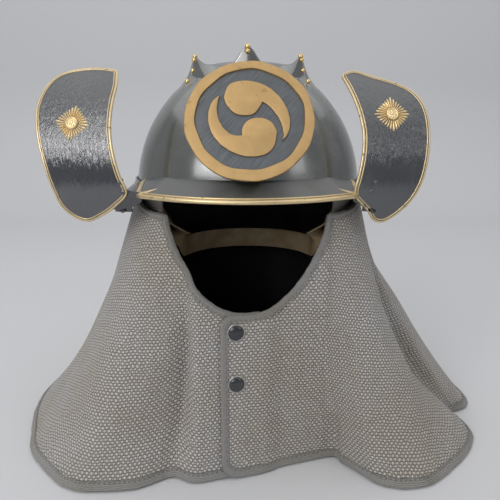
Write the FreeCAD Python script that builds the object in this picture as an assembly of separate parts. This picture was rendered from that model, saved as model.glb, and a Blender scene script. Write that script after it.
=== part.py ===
import FreeCAD
import Part
import math
import os

# Lacquered fire helmet with a cape, in millimetres. +Z up, front at -Y, hem of the cape at z = 0.
# Azimuths are in degrees from the front, positive towards +X.

V = FreeCAD.Vector
UP = V(0, 0, 1)
ORIGIN = V(0, 0, 0)
os.makedirs("parts", exist_ok=True)

# Driving dimensions
bowl_radius = 113.0
crown_height = 126.0
rim_height = 262.0
rim_over_equator = 4.0
bowl_wall = 3.0
overrun = 40.0
fit_gap = 0.1

# Horns
horn_count = 6
horn_ring_radius = 54.0
horn_rise = 21.5
horn_tip_radius = 1.3
horn_foot_radius = 24.0
horn_depth = 3.0
bead_radius = 2.1

# Visor
visor_reach = 21.0
visor_drop = 13.0
visor_crease_height = 16.0
visor_half_angle = 46.5
visor_thickness = 2.2
visor_corner = 13.0
visor_rim_width = 3.6
visor_rim_thickness = 4.2

# Crest
crest_radius = 53.0
crest_lean = 27.0
crest_centre_height = 65.5
crest_standoff = 105.0
crest_thickness = 2.0
crest_ring_width = 9.4
crest_relief = 1.6
comma_head_radius = 14.2
tongue_width = 12.0
tongue_thickness = 2.2
tongue_length = 44.0
tongue_gap = 0.25
socket_wall = 1.4
socket_length = 34.0
socket_flange = 6.0
bracket_width = 22.0
bracket_leaf_height = 16.0
bracket_leaf_thickness = 2.2
bracket_height = 22.0
crest_rivet_radius = 1.5

# Neck plate
neck_reach = 29.0
neck_drop = 14.0
neck_band_height = 10.0
neck_plate_thickness = 2.2
neck_start = 51.0
rivet_radius = 1.3
rivet_head_radius = 2.8
neck_rivet_count = 9
neck_rivet_start = 68.0
neck_rivet_height = 5.5

# Side plates
plate_thickness = 2.2
plate_rim_width = 4.4
plate_rim_thickness = 4.8
plate_sweep = 8.0
plate_bottom_y = -82.0
plate_middle_y = -88.0
plate_top_y = -46.0
plate_bottom_drop = 29.0
plate_middle_rise = 23.0
plate_top_rise = 111.0
left_plate_inner = 105.0
left_plate_width = 84.0
left_plate_height = 137.0
left_plate_base = -25.5
right_plate_inner = 83.0
right_plate_width = 80.0
right_plate_height = 139.0
right_plate_base = -29.0
tab_width = 16.0
tab_height = 30.0
tab_thickness = 2.0

# Rayed studs
ray_count = 28
ray_half_width = 16.2
ray_half_height = 15.8
ray_notch_share = 0.8
ray_thickness = 3.0
boss_radius = 5.4
boss_height = 2.6
boss_top_radius = 4.3
left_stud_out = 50.0
left_stud_rise = 63.5
right_stud_out = 46.0
right_stud_rise = 71.0

# Lining and strap
band_thickness = 3.6
band_height = 14.0
lining_gap = 5.0
lining_thickness = 2.6
strap_width = 22.0
strap_thickness = 2.6
strap_radius = 71.0
strap_drop = 80.0
strap_forward = 15.0
strap_knee_drop = 15.4

# Cape
cloth = 3.0
lining_layer = 1.0
lining_top_gap = 0.3
tape_thickness = 2.3
tape_height = 28.0
tape_above_rim = 12.0
tape_front_gap = 8.4
cape_top_gap = 0.5
hem_reach = 255.0
hem_band = 9.0
hem_proud = 0.4
binding_width = 5.6
neck_half_width = 72.0
neck_depth = 104.0
neck_shoulder = 38.0
neck_bend_share = (0.73, 0.39)
seam_y = 60.0
flap_clearance = 0.8
flap_edge_x = -24.0
flap_fold_x = 45.0
under_edge_x = 12.0
flap_step_x = 17.0
flap_step_width = 4.0
flap_seam = 0.4
fold_axis_y = -105.5
flap_floor_gap = 1.5
flap_binding_proud = 0.6

# Snaps
snap_cap_radius = 8.0
snap_cap_height = 3.0
snap_socket_radius = 5.4
snap_knob_radius = 1.9
snap_pin_radius = 0.95
snap_knob_height = 2.7
snap_flange_radius = 4.6
snap_flange_thickness = 0.45
snap_play = 0.4
snap_x = -11.0
snap_drops = (15.0, 64.0)

# Shares of the sizes above. Horn sections: radius share, height share of the rise, tilt share.
horn_section_shares = ((1.0, 0.0, 1.0), (0.58, 0.28, 0.66), (0.31, 0.55, 0.3), (0.12, 0.8, 0.1),
                       (0.0, 1.0, 0.0))
bead_shares = (0.97, 0.78, 0.5, 0.24)
horn_foot_tilt = 31.0
# Pins of a side plate: shares of the tab's width outwards and of its height up.
pin_shares = ((0.4, 0.62), (0.6, 0.88))

# Side plate outlines: share of the width outwards, share of the height up.
left_plate_shares = (
    ("arc", (0.157, 1.0), (0.185, 0.65), (0.0, 0.2)),
    ("line", (0.0, 0.2), (0.17, 0.117)),
    ("arc", (0.17, 0.117), (0.43, 0.0), (0.687, 0.13)),
    ("arc", (0.687, 0.13), (0.9, 0.32), (1.0, 0.606)),
    ("arc", (1.0, 0.606), (0.93, 0.83), (0.795, 0.927)),
    ("arc", (0.795, 0.927), (0.48, 0.995), (0.157, 1.0)),
)
right_plate_shares = (
    ("arc", (0.0, 1.0), (0.2, 0.6), (0.114, 0.24)),
    ("line", (0.114, 0.24), (0.34, 0.1)),
    ("arc", (0.34, 0.1), (0.53, 0.0), (0.785, 0.086)),
    ("arc", (0.785, 0.086), (0.96, 0.27), (1.0, 0.56)),
    ("arc", (1.0, 0.56), (0.95, 0.78), (0.823, 0.87)),
    ("arc", (0.823, 0.87), (0.45, 0.967), (0.0, 1.0)),
)

# Cape stations: azimuth at the top, and x and y at the hem as shares of its reach.
# The first edge is a line across the front, and the others are arcs through three stations.
station_shares = (
    (-22.0, -0.173, -0.514),
    (36.0, 0.302, -0.365),
    (41.0, 0.353, -0.424),
    (46.0, 0.49, -0.539),
    (54.0, 0.675, -0.537),
    (63.0, 0.804, -0.431),
    (76.0, 0.925, -0.243),
    (90.0, 1.02, 0.016),
    (104.0, 1.02, 0.235),
    (118.0, 0.91, 0.431),
    (133.0, 0.725, 0.62),
    (147.0, 0.47, 0.675),
    (157.0, 0.294, 0.659),
    (169.0, 0.137, 0.714),
    (180.0, 0.0, 0.729),
    (191.0, -0.137, 0.714),
    (203.0, -0.306, 0.659),
    (213.0, -0.478, 0.675),
    (227.0, -0.737, 0.62),
    (242.0, -0.902, 0.424),
    (258.0, -0.99, 0.196),
    (274.0, -0.976, -0.067),
    (286.0, -0.91, -0.267),
    (297.0, -0.8, -0.404),
    (309.0, -0.647, -0.525),
    (320.0, -0.459, -0.545),
    (329.0, -0.314, -0.529),
)
# Cape levels: height share of the rim's height, and how far the outline has spread to the hem's.
level_shares = ((0.0, 1.0), (0.1, 0.86), (0.22, 0.68), (0.38, 0.49), (0.6, 0.31), (0.82, 0.13),
                (1.0, 0.0))

# Commas, as shares of the field's radius, x across and y up: the head's centre, and the outline
# of the tail: start, outer bend, far side, bend to the tip, tip, inner bend, notch.
comma_shares = (
    ((-0.09, 0.49), (-0.09, 0.82), (0.42, 0.64), (0.72, 0.135), (0.73, -0.15), (0.61, -0.41),
     (0.58, -0.04), (0.25, 0.378)),
    ((0.167, -0.327), (0.35, -0.59), (-0.417, -0.618), (-0.774, 0.0), (-0.73, 0.27), (-0.566, 0.49),
     (-0.55, -0.03), (-0.148, -0.306)),
)

# Worked out from the sizes above
equator = rim_height - rim_over_equator
inner_radius = bowl_radius - bowl_wall
crease_z = rim_height + visor_crease_height
inner_crown = crown_height - bowl_wall
tape_outer = inner_radius * math.sqrt(
    1 - ((rim_over_equator + tape_above_rim) / inner_crown) ** 2) - fit_gap
tape_inner = tape_outer - tape_thickness
band_outer = tape_inner - fit_gap
band_inner = band_outer - band_thickness
cape_top = rim_height - cape_top_gap
cape_radius = tape_outer + fit_gap + cloth
band_top = rim_height + band_height
flap_inner = flap_clearance
flap_outer = flap_clearance + cloth
snap_heights = [rim_height - neck_depth - drop for drop in snap_drops]


def save(name, shape):
    """Write one sub-part."""
    shape.exportStep("parts/" + name + ".step")
    print(name, "valid" if shape.isValid() else "NOT VALID", "solids", len(shape.Solids),
          "volume", round(shape.Volume))


def at(radius, azimuth, z):
    """A point at a radius, an azimuth from the front and a height."""
    a = math.radians(azimuth)
    return V(radius * math.sin(a), -radius * math.cos(a), z)


def polygon(points):
    """A face from its corners."""
    return Part.Face(Part.makePolygon(list(points) + [points[0]]))


def turned(profile, start=0.0, end=360.0):
    """Revolve a list of (radius, height) corners about the bowl's axis between two azimuths."""
    face = polygon([V(r, 0, z) for r, z in profile])
    face.rotate(ORIGIN, UP, start - 90)
    return face.revolve(ORIGIN, UP, end - start)


def dome(radius, height):
    """The upper half of an ellipsoid about the bowl's axis."""
    centre = V(0, 0, equator)
    crown = centre + V(0, 0, height)
    side = centre + V(radius, 0, 0)
    if height >= radius:
        ellipse = Part.Ellipse(crown, side, centre)
    else:
        ellipse = Part.Ellipse(side, crown, centre)
    arc = ellipse.toShape(0, math.pi / 2)
    wire = Part.Wire(Part.__sortEdges__([arc, Part.makeLine(side, centre), Part.makeLine(centre, crown)]))
    return Part.Face(wire).revolve(ORIGIN, UP, 360)


def dome_at(radius, height, r):
    """Height of a dome's surface at a radius."""
    return equator + height * math.sqrt(1 - (r / radius) ** 2)


def dome_radius(radius, height, z):
    """Radius of a dome's surface at a height."""
    return radius * math.sqrt(1 - ((z - equator) / height) ** 2)


def box(x0, x1, y0, y1, z0, z1):
    """A box between two corners."""
    return Part.makeBox(x1 - x0, y1 - y0, z1 - z0, V(x0, y0, z0))


def fused(shapes):
    """Join shapes into one."""
    shapes = list(shapes)
    return shapes[0].fuse(shapes[1:]) if len(shapes) > 1 else shapes[0]


def group(shapes):
    """Separate solids in one node."""
    return Part.makeCompound(list(shapes))


def rivet(foot, direction, length, radius, head):
    """A pin that starts at foot, with a domed head on its far end."""
    axis = V(direction)
    axis.normalize()
    pin = Part.makeCylinder(radius, length, foot, axis)
    top = foot + axis * length
    half = Part.makeSphere(head, ORIGIN, UP, 0, 90, 360)
    flat = FreeCAD.Matrix()
    flat.scale(1, 1, radius / head)
    half = half.transformGeometry(flat)
    half.Placement = FreeCAD.Placement(top, FreeCAD.Rotation(UP, axis))
    return pin.fuse(half)


# Bowl and horns
outer_dome = dome(bowl_radius, crown_height)
inner_dome = dome(inner_radius, crown_height - bowl_wall)


def horn_section(radius_share, rise_share, tilt_share):
    """Centre, radius and tilt of one section of the horn at azimuth 0."""
    foot = dome_at(bowl_radius, crown_height, horn_ring_radius) - horn_depth
    radius = horn_tip_radius + (horn_foot_radius - horn_tip_radius) * radius_share
    z = foot + (horn_rise + horn_depth) * rise_share
    return at(horn_ring_radius, 0, z), radius, horn_foot_tilt * tilt_share


def horn_solid():
    """The horn at the front, lofted through circles that tilt with the dome."""
    wires = []
    for shares in horn_section_shares:
        centre, radius, tilt = horn_section(*shares)
        axis = FreeCAD.Rotation(V(1, 0, 0), tilt).multVec(UP)
        wires.append(Part.Wire(Part.makeCircle(radius, centre, axis)))
    return Part.makeLoft(wires, True, False)


def around(shape, azimuth):
    """A copy of a front shape, turned to an azimuth."""
    copy = shape.copy()
    copy.rotate(ORIGIN, UP, azimuth)
    return copy


horn = horn_solid()
horn_azimuths = [i * 360.0 / horn_count for i in range(horn_count)]
below_rim = box(-2 * bowl_radius, 2 * bowl_radius, -2 * bowl_radius, 2 * bowl_radius,
                rim_height - overrun, rim_height)
bowl = fused([outer_dome] + [around(horn, a) for a in horn_azimuths]).cut(inner_dome).cut(below_rim)


def ridge_point(share):
    """A point on the horn's outer side, at a share of its rise."""
    rows = [horn_section(*s) for s in horn_section_shares]
    for (c0, r0, t0), (c1, r1, t1) in zip(rows, rows[1:]):
        z = rows[0][0].z + (rows[-1][0].z - rows[0][0].z) * share
        if c0.z <= z <= c1.z:
            k = (z - c0.z) / (c1.z - c0.z)
            r, t = r0 + (r1 - r0) * k, math.radians(t0 + (t1 - t0) * k)
            return V(0, -horn_ring_radius - r * math.cos(t), z - r * math.sin(t))
    return rows[-1][0]


beads = [Part.makeSphere(bead_radius, ridge_point(s)) for s in bead_shares]
horn_studs = group(around(b, a) for a in horn_azimuths for b in beads).cut(bowl)

# Visor
crease_r = bowl_radius
slope = visor_drop / visor_reach
visor_edge_r = crease_r + visor_reach


def visor_shell(above, below):
    """The visor's cone between two offsets from its upper face."""
    r0, r1 = crease_r - overrun, visor_edge_r + overrun
    z0, z1 = crease_z + overrun * slope, crease_z - (visor_reach + overrun) * slope
    return turned([(r0, z0 + above), (r1, z1 + above), (r1, z1 - below), (r0, z0 - below)],
                  -90, 90)


sector = turned([(crease_r - visor_reach, equator - overrun), (visor_edge_r, equator - overrun),
                 (visor_edge_r, crease_z + overrun), (crease_r - visor_reach, crease_z + overrun)],
                -visor_half_angle, visor_half_angle)
corners = [e for e in sector.Edges
           if abs(e.BoundBox.ZLength - sector.BoundBox.ZLength) < fit_gap
           and abs(math.hypot(e.BoundBox.Center.x, e.BoundBox.Center.y) - visor_edge_r) < fit_gap]
sector = sector.makeFillet(visor_corner, corners)
plan = [f for f in sector.Faces if f.BoundBox.ZLength < fit_gap
        and abs(f.BoundBox.ZMin - (equator - overrun)) < fit_gap][0]
inset = plan.makeOffset2D(-visor_rim_width).extrude(V(0, 0, sector.BoundBox.ZLength))
visor_plate = visor_shell(0, visor_thickness).common(inset).cut(outer_dome)
proud = (visor_rim_thickness - visor_thickness) / 2
visor_rim = visor_shell(proud, visor_thickness + proud).common(sector.cut(inset)).cut(outer_dome)

# Crest: its own frame has x across, y up the disc and z out of its face
lean = math.radians(crest_lean)
crest_up = V(0, math.sin(lean), math.cos(lean))
crest_out = V(0, -math.cos(lean), math.sin(lean))
crest_centre = V(0, -crest_standoff, rim_height + crest_centre_height)
crest_place = FreeCAD.Placement(crest_centre, FreeCAD.Rotation(V(1, 0, 0), crest_up, crest_out, "ZXY"))


def on_crest(shape):
    """Move a shape from the crest's own frame to its place."""
    shape.Placement = crest_place
    return shape


field_radius = crest_radius - crest_ring_width
crest_disc = on_crest(Part.makeCylinder(crest_radius, crest_thickness, V(0, 0, -crest_thickness)))
crest_ring = on_crest(Part.makeCylinder(crest_radius, crest_relief).cut(
    Part.makeCylinder(field_radius, crest_relief)))


def comma(shares):
    """A comma: a round head and a tail that narrows to a point, on the crest's field."""
    centre, start, bend, far, tip_bend, tip, inner_bend, notch = [
        V(x * field_radius, y * field_radius, 0) for x, y in shares]
    edges = [Part.makeLine(centre, start), Part.Arc(start, bend, far).toShape(),
             Part.Arc(far, tip_bend, tip).toShape(), Part.Arc(tip, inner_bend, notch).toShape(),
             Part.makeLine(notch, centre)]
    body = Part.Face(Part.Wire(edges)).extrude(V(0, 0, crest_relief))
    return body.fuse(Part.makeCylinder(comma_head_radius, crest_relief, centre)).removeSplitter()


crest_commas = [on_crest(comma(shares)) for shares in comma_shares]

# Tongue and socket, behind the disc
tongue_front = -crest_thickness - socket_wall - tongue_gap
tongue_back = tongue_front - tongue_thickness
tongue_top = -crest_radius + bracket_height / 2 + tongue_length
tongue_foot = tongue_top - tongue_length
socket_front = -crest_thickness
socket_back = tongue_back - tongue_gap - socket_wall
socket_bottom = tongue_top - socket_length + tongue_gap


half_slot = tongue_width / 2 + tongue_gap
half_tube = half_slot + socket_wall
tube = box(-half_tube, half_tube, socket_bottom, tongue_top + tongue_gap + socket_wall,
                 socket_back, socket_front)
flange = box(-half_tube - socket_flange, half_tube + socket_flange, socket_bottom,
                   tongue_top + tongue_gap + socket_wall, socket_front - socket_wall, socket_front)
slot = box(-half_slot, half_slot, socket_bottom - overrun, tongue_top + tongue_gap,
                 tongue_back - tongue_gap, tongue_front + tongue_gap)
socket_rivet_x = half_tube + socket_flange / 2
socket_pins = [Part.makeCylinder(crest_rivet_radius, socket_wall * 2 + crest_thickness,
                                 V(side * socket_rivet_x, y, -crest_thickness - socket_wall * 2))
               for side in (-1, 1)
               for y in (socket_bottom + socket_flange, tongue_top - socket_flange)]
crest_socket = on_crest(tube.fuse(flange).cut(slot).cut(group(socket_pins)))
crest_socket_rivets = on_crest(group(socket_pins))
crest_disc = crest_disc.cut(crest_socket_rivets)

# Bracket on the bowl's front, with the tongue
tongue = on_crest(box(-tongue_width / 2, tongue_width / 2, tongue_foot, tongue_top,
                            tongue_back, tongue_front))
arm_z = crest_place.multVec(V(0, tongue_foot, tongue_back)).z
arm_y = crest_place.multVec(V(0, tongue_foot, tongue_front)).y
arm = box(-tongue_width / 2, tongue_width / 2, arm_y, -inner_radius + overrun,
          arm_z, arm_z + tongue_thickness)
leaf = dome(bowl_radius + bracket_leaf_thickness, crown_height + bracket_leaf_thickness).common(
    box(-bracket_width / 2, bracket_width / 2, -2 * bowl_radius, 0,
        arm_z - bracket_leaf_thickness, arm_z + bracket_leaf_height))
bracket_rivet_z = arm_z + bracket_leaf_height / 2
bracket_rivet_x = (bracket_width + tongue_width) / 4
bracket_rivet_y = math.sqrt(dome_radius(bowl_radius, crown_height, bracket_rivet_z) ** 2
                            - bracket_rivet_x ** 2)
bracket_rivets = group(
    rivet(V(side * bracket_rivet_x, bowl_wall - bracket_rivet_y, bracket_rivet_z), V(0, -1, 0),
          bowl_wall + bracket_leaf_thickness, crest_rivet_radius, rivet_head_radius)
    for side in (-1, 1))
crest_bracket = tongue.fuse([arm, leaf]).cut(outer_dome)
crest_bracket = crest_bracket.cut(bracket_rivets)
bowl = bowl.cut(bracket_rivets)

# Neck plate: a band on the bowl, a flare, and two upturned tabs behind the side plates
neck_edge_r = bowl_radius + neck_reach
flare_top = rim_height + neck_plate_thickness
neck_profile = [
    (bowl_radius - bowl_wall, rim_height + neck_band_height),
    (bowl_radius + neck_plate_thickness, rim_height + neck_band_height),
    (bowl_radius + neck_plate_thickness, flare_top + neck_plate_thickness),
    (neck_edge_r, rim_height - neck_drop + neck_plate_thickness),
    (neck_edge_r - fit_gap, rim_height - neck_drop),
    (bowl_radius + fit_gap, flare_top - neck_plate_thickness),
    (bowl_radius - bowl_wall, flare_top - neck_plate_thickness),
]
neck_ring = turned(neck_profile, neck_start, 360 - neck_start)
tab_inner_x = neck_edge_r * math.sin(math.radians(neck_start)) - tab_width / 2
tab_bottom = rim_height - neck_drop + fit_gap


def circle_through(a, b, c):
    """Centre and radius of the circle through three (y, z) points."""
    curve = Part.Arc(V(0, *a), V(0, *b), V(0, *c)).toShape().Curve
    return curve.Center.y, curve.Center.z, curve.Radius


class SidePlate:
    """One side plate: a convex sheet with a level axis, its bead rim, tab and ornament."""

    def __init__(self, side, inner, width, height, base, shares, stud_out, stud_rise):
        """Keep the sizes and work out the sheet's circle."""
        self.side, self.inner, self.width, self.height = side, inner, width, height
        self.base = rim_height + base
        self.shares = shares
        self.yc, self.zc, self.radius = circle_through(
            (plate_bottom_y, rim_height - plate_bottom_drop),
            (plate_middle_y, rim_height + plate_middle_rise),
            (plate_top_y, rim_height + plate_top_rise))
        self.stud_x = side * (inner + stud_out)
        self.stud_z = rim_height + stud_rise
        sweep = math.radians(plate_sweep)
        self.axis = V(side * math.cos(sweep), math.sin(sweep), 0)
        self.pivot_x = side * (inner + tab_width)

    def solid_cylinder(self, depth):
        """The sheet's cylinder at a depth behind its front face."""
        start = V(self.pivot_x, self.yc, self.zc) - self.axis * 2 * self.width
        return Part.makeCylinder(self.radius - depth, 4 * self.width, start, self.axis)

    def layer(self, front, back):
        """The front half of the sheet between two depths behind its front face."""
        half = box(self.pivot_x - 2 * self.width, self.pivot_x + 2 * self.width,
                   self.yc - 2 * self.radius, self.yc,
                   self.base - overrun, self.base + self.height + overrun)
        return self.solid_cylinder(front).cut(self.solid_cylinder(back)).common(half)

    def outline(self):
        """The plate's front outline as a face."""
        def place(share):
            return V(self.side * (self.inner + share[0] * self.width), self.yc - 2 * self.radius,
                     self.base + share[1] * self.height)
        edges = []
        for kind, *points in self.shares:
            spots = [place(p) for p in points]
            edges.append(Part.Arc(*spots).toShape() if kind == "arc" else Part.makeLine(*spots))
        return Part.Face(Part.Wire(edges))

    def prism(self, inset=0.0):
        """The outline, inset by a width, as a prism from front to back."""
        face = self.outline()
        if inset:
            face = face.makeOffset2D(-inset)
        return face.extrude(V(0, 3 * self.radius, 0))

    def front_y(self, x, z):
        """Y of the plate's front face at a place."""
        across = (x - self.pivot_x) * self.axis.y / self.axis.x
        return self.yc + across - math.sqrt(self.radius ** 2 - (z - self.zc) ** 2) / abs(self.axis.x)

    def tab(self):
        """The neck plate's upturned end, behind the plate."""
        x = sorted(self.side * (tab_inner_x + s) for s in (0, tab_width))
        front = plate_thickness + fit_gap
        return self.layer(front, front + tab_thickness).common(
            box(x[0], x[1], self.yc - 2 * self.radius, self.yc, tab_bottom, tab_bottom + tab_height))

    def pins(self):
        """Rivets through the plate and the tab."""
        result = []
        for out, up in pin_shares:
            x, z = self.side * (tab_inner_x + tab_width * out), tab_bottom + tab_height * up
            y = self.front_y(x, z)
            back = plate_thickness + fit_gap + tab_thickness
            result.append(rivet(V(x, y + back, z), V(0, -1, 0), back, rivet_radius,
                                rivet_head_radius))
        return group(result)

    def normal(self, z):
        """The direction out of the front face at a height."""
        level = V(self.axis.y * self.side, -abs(self.axis.x), 0)
        rise = (z - self.zc) / self.radius
        return level * math.sqrt(1 - rise ** 2) + V(0, 0, rise)

    def star(self):
        """The rayed lozenge, seated on the sheet."""
        points = []
        for i in range(2 * ray_count):
            a = math.pi * i / ray_count
            c, s = abs(math.cos(a)), abs(math.sin(a))
            reach = 1 / (c / ray_half_width + s / ray_half_height)
            reach *= 1 if i % 2 == 0 else ray_notch_share
            points.append(V(reach * math.cos(a), reach * math.sin(a), -ray_thickness))
        return polygon(points).extrude(V(0, 0, 2 * ray_thickness))

    def seat(self, shape):
        """Put an upright shape on the plate's ornament place."""
        y = self.front_y(self.stud_x, self.stud_z)
        out = self.normal(self.stud_z)
        rotation = FreeCAD.Rotation(UP, out)
        shape.Placement = FreeCAD.Placement(V(self.stud_x, y, self.stud_z), rotation)
        return shape


left = SidePlate(-1, left_plate_inner, left_plate_width, left_plate_height, left_plate_base,
                 left_plate_shares, left_stud_out, left_stud_rise)
right = SidePlate(1, right_plate_inner, right_plate_width, right_plate_height, right_plate_base,
                  right_plate_shares, right_stud_out, right_stud_rise)
side_plates = {"left": left, "right": right}

# The tabs rise out of the front ends of the flare
neck_plate = neck_ring.fuse([p.tab() for p in side_plates.values()]).cut(outer_dome)
side_pins = {name: plate.pins() for name, plate in side_plates.items()}
panels, plate_rims, stars, bosses = {}, {}, {}, {}
for name, plate in side_plates.items():
    blank, inner_blank = plate.prism(), plate.prism(plate_rim_width)
    beyond = (plate_rim_thickness - plate_thickness) / 2
    panel = plate.layer(0, plate_thickness).common(inner_blank).cut(neck_ring)
    panels[name] = panel.cut(side_pins[name])
    rim = plate.layer(-beyond, plate_thickness).common(blank.cut(inner_blank))
    plate_rims[name] = rim.cut(neck_ring).cut(side_pins[name])
    stars[name] = plate.seat(plate.star()).cut(plate.solid_cylinder(0))
    boss = Part.makeCylinder(boss_radius, boss_height / 2, V(0, 0, ray_thickness)).fuse(
        Part.makeCone(boss_top_radius, 0, boss_height / 2,
                      V(0, 0, ray_thickness + boss_height / 2)))
    bosses[name] = plate.seat(boss)
    neck_plate = neck_plate.cut(side_pins[name])

# Rivets through the neck plate, the bowl and the cape's tape
rivet_step = (360 - 2 * neck_rivet_start) / (neck_rivet_count - 1)
neck_stack = bowl_radius + neck_plate_thickness - tape_inner
neck_rivets = group(
    rivet(at(tape_inner, a, rim_height + neck_rivet_height), at(1, a, 0), neck_stack,
          rivet_radius, rivet_head_radius)
    for a in [neck_rivet_start + i * rivet_step for i in range(neck_rivet_count)])
bowl = bowl.cut(neck_rivets)
neck_plate = neck_plate.cut(neck_rivets)
tape_bottom = rim_height + tape_above_rim - tape_height
tape_start = math.degrees(math.asin((neck_half_width + tape_front_gap) / cape_radius))
cape_top_tape = turned([(tape_inner, tape_bottom), (tape_outer, tape_bottom),
                        (tape_outer, tape_bottom + tape_height),
                        (tape_inner, tape_bottom + tape_height)], tape_start, 360 - tape_start)
cape_top_tape = cape_top_tape.cut(neck_rivets)

# Lining of the bowl
lining_band = turned([(band_inner, rim_height), (band_outer, rim_height),
                      (band_outer, band_top), (band_inner, band_top)])
cap_height = crown_height - bowl_wall - lining_gap
lining_cap = dome(band_outer, cap_height).cut(
    dome(band_outer - lining_thickness, cap_height - lining_thickness)).cut(
    box(-2 * bowl_radius, 2 * bowl_radius, -2 * bowl_radius, 2 * bowl_radius,
        equator - overrun, band_top))

# Nape strap: a loop behind the neck, with a hanger at each side
strap_low = rim_height - strap_drop
strap_high = strap_low + strap_width
strap_front = -strap_forward - strap_width / 2
strap_top = rim_height + band_height - strap_thickness
knee_r, knee_z = (strap_radius + band_inner) / 2, rim_height - strap_knee_drop
hanger_outer = [(band_inner, strap_top), (band_inner, rim_height), (knee_r, knee_z),
                (strap_radius, strap_high), (strap_radius, strap_low)]
hanger_inner = [(r - (2 * strap_thickness if z > knee_z else strap_thickness), z)
                for r, z in hanger_outer]
hangers = []
for side in (-1, 1):
    outline = [V(side * r, strap_front, z) for r, z in hanger_outer + hanger_inner[::-1]]
    hangers.append(polygon(outline).extrude(V(0, strap_width, 0)))
straight = [box(*sorted((side * strap_radius, side * (strap_radius - strap_thickness))),
                strap_front, 0, strap_low, strap_high) for side in (-1, 1)]
loop = Part.makeCylinder(strap_radius, strap_width, V(0, 0, strap_low), UP).cut(
    Part.makeCylinder(strap_radius - strap_thickness, strap_width, V(0, 0, strap_low), UP)).common(
    box(-strap_radius, strap_radius, 0, strap_radius, strap_low, strap_high))
inside_band = Part.makeCylinder(band_inner, strap_drop + 2 * overrun, V(0, 0, strap_low - overrun))
strap_pin_x = math.sqrt(band_outer ** 2 - (strap_forward + strap_width / 2) ** 2)
strap_rivets = group(
    rivet(V(side * strap_pin_x, -strap_forward + y, rim_height + band_height / 2),
          V(-side, 0, 0), strap_pin_x - band_inner + 2 * strap_thickness,
          rivet_radius, rivet_head_radius)
    for side in (-1, 1) for y in (-strap_width / 4, strap_width / 4))
nape_strap = fused([loop] + straight + hangers).common(inside_band).cut(strap_rivets)
lining_band = lining_band.cut(strap_rivets)


# Cape
def spread_at(z):
    """How far the cape's outline has spread at a height, by its levels."""
    share = z / cape_top
    for (h0, g0), (h1, g1) in zip(level_shares, level_shares[1:]):
        if share <= h1:
            return g0 + (g1 - g0) * (share - h0) / (h1 - h0)
    return level_shares[-1][1]


def cape_points(z, offset, spread=None):
    """The stations of the cape's outline at a height, moved outwards by an offset."""
    g = spread_at(z) if spread is None else spread
    flat = []
    for azimuth, x_share, y_share in station_shares:
        top, hem = at(cape_radius, azimuth, 0), V(x_share * hem_reach, y_share * hem_reach, 0)
        flat.append(top + (hem - top) * g)
    moved = []
    for i, p in enumerate(flat):
        along = flat[(i + 1) % len(flat)] - flat[i - 1]
        out = V(along.y, -along.x, 0)
        out.normalize()
        moved.append(V(p.x, p.y, z) + out * offset)
    return moved


def cape_wire(z, offset, spread):
    """One closed outline of the cape: a line across the front, then arcs."""
    p = cape_points(z, offset, spread)
    edges = [Part.makeLine(p[0], p[1])]
    for i in range(1, len(p), 2):
        edges.append(Part.Arc(p[i], p[(i + 1) % len(p)], p[(i + 2) % len(p)]).toShape())
    return Part.Wire(edges)


def cape_skin(offset):
    """The cape filled to one of its surfaces, reaching straight on beyond both ends."""
    levels = [(height * cape_top, spread) for height, spread in level_shares]
    levels = ([(levels[0][0] - cloth, levels[0][1])] + levels
              + [(levels[-1][0] + cloth, levels[-1][1])])
    return Part.makeLoft([cape_wire(z, offset, spread) for z, spread in levels], True, True)


def cape_layer(outside, inside):
    """The cape's wall between two offsets."""
    return cape_skin(outside).cut(cape_skin(inside))


def neck_outline():
    """The neck opening, seen from the front, as a face before the cape."""
    y = -2 * hem_reach
    top, shoulder, low = cape_top + overrun, rim_height - neck_shoulder, rim_height - neck_depth
    w = neck_half_width
    bend = V(w * neck_bend_share[0], y, low + (shoulder - low) * neck_bend_share[1])
    edges = [Part.makeLine(V(-w, y, top), V(-w, y, shoulder)),
             Part.Arc(V(-w, y, shoulder), V(-bend.x, y, bend.z), V(0, y, low)).toShape(),
             Part.Arc(V(0, y, low), bend, V(w, y, shoulder)).toShape(),
             Part.makeLine(V(w, y, shoulder), V(w, y, top)),
             Part.makeLine(V(w, y, top), V(-w, y, top))]
    return Part.Face(Part.Wire(edges))


depth_y = V(0, 2 * hem_reach, 0)
neck_hole = neck_outline().extrude(depth_y)
bound_hole = neck_outline().makeOffset2D(binding_width).extrude(depth_y)
bound_edge = bound_hole.cut(neck_hole)

far = 2 * hem_reach
front_wall_y = -bowl_radius / 2
top_z = cape_top


base = cape_layer(0, -cloth)
panel_cloth = base.cut(bound_hole)
right_edge_x = flap_fold_x + flap_seam
left_side = box(-far, under_edge_x - binding_width, -far, seam_y, hem_band, top_z)
right_side = box(right_edge_x, far, -far, seam_y, hem_band, top_z)
cape_left = panel_cloth.common(left_side)
cape_right = panel_cloth.common(right_side)
cape_back = panel_cloth.common(box(-far, far, seam_y, far, hem_band, top_z))

hem_layer = cape_layer(hem_proud, -cloth - hem_proud)
flap_gap = box(under_edge_x, right_edge_x, -far, front_wall_y, -overrun, top_z)
hem_binding = hem_layer.common(box(-far, far, -far, far, 0, hem_band)).cut(flap_gap)

under_strip = box(under_edge_x - binding_width, under_edge_x, -far, front_wall_y, hem_band, top_z)
binding_left = hem_layer.common(bound_edge).common(
    box(-far, under_edge_x, -far, front_wall_y, hem_band, top_z)).fuse(
    hem_layer.cut(bound_hole).common(under_strip))
binding_right = hem_layer.common(bound_edge).common(
    box(right_edge_x, far, -far, front_wall_y, hem_band, top_z))

lining_full = cape_layer(-cloth, -cloth - lining_layer).cut(bound_hole)
cape_lining = lining_full.common(
    box(-far, far, -far, far, hem_band, tape_bottom - lining_top_gap)).cut(
    box(under_edge_x - binding_width, right_edge_x, -far, front_wall_y, -overrun, top_z))

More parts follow.
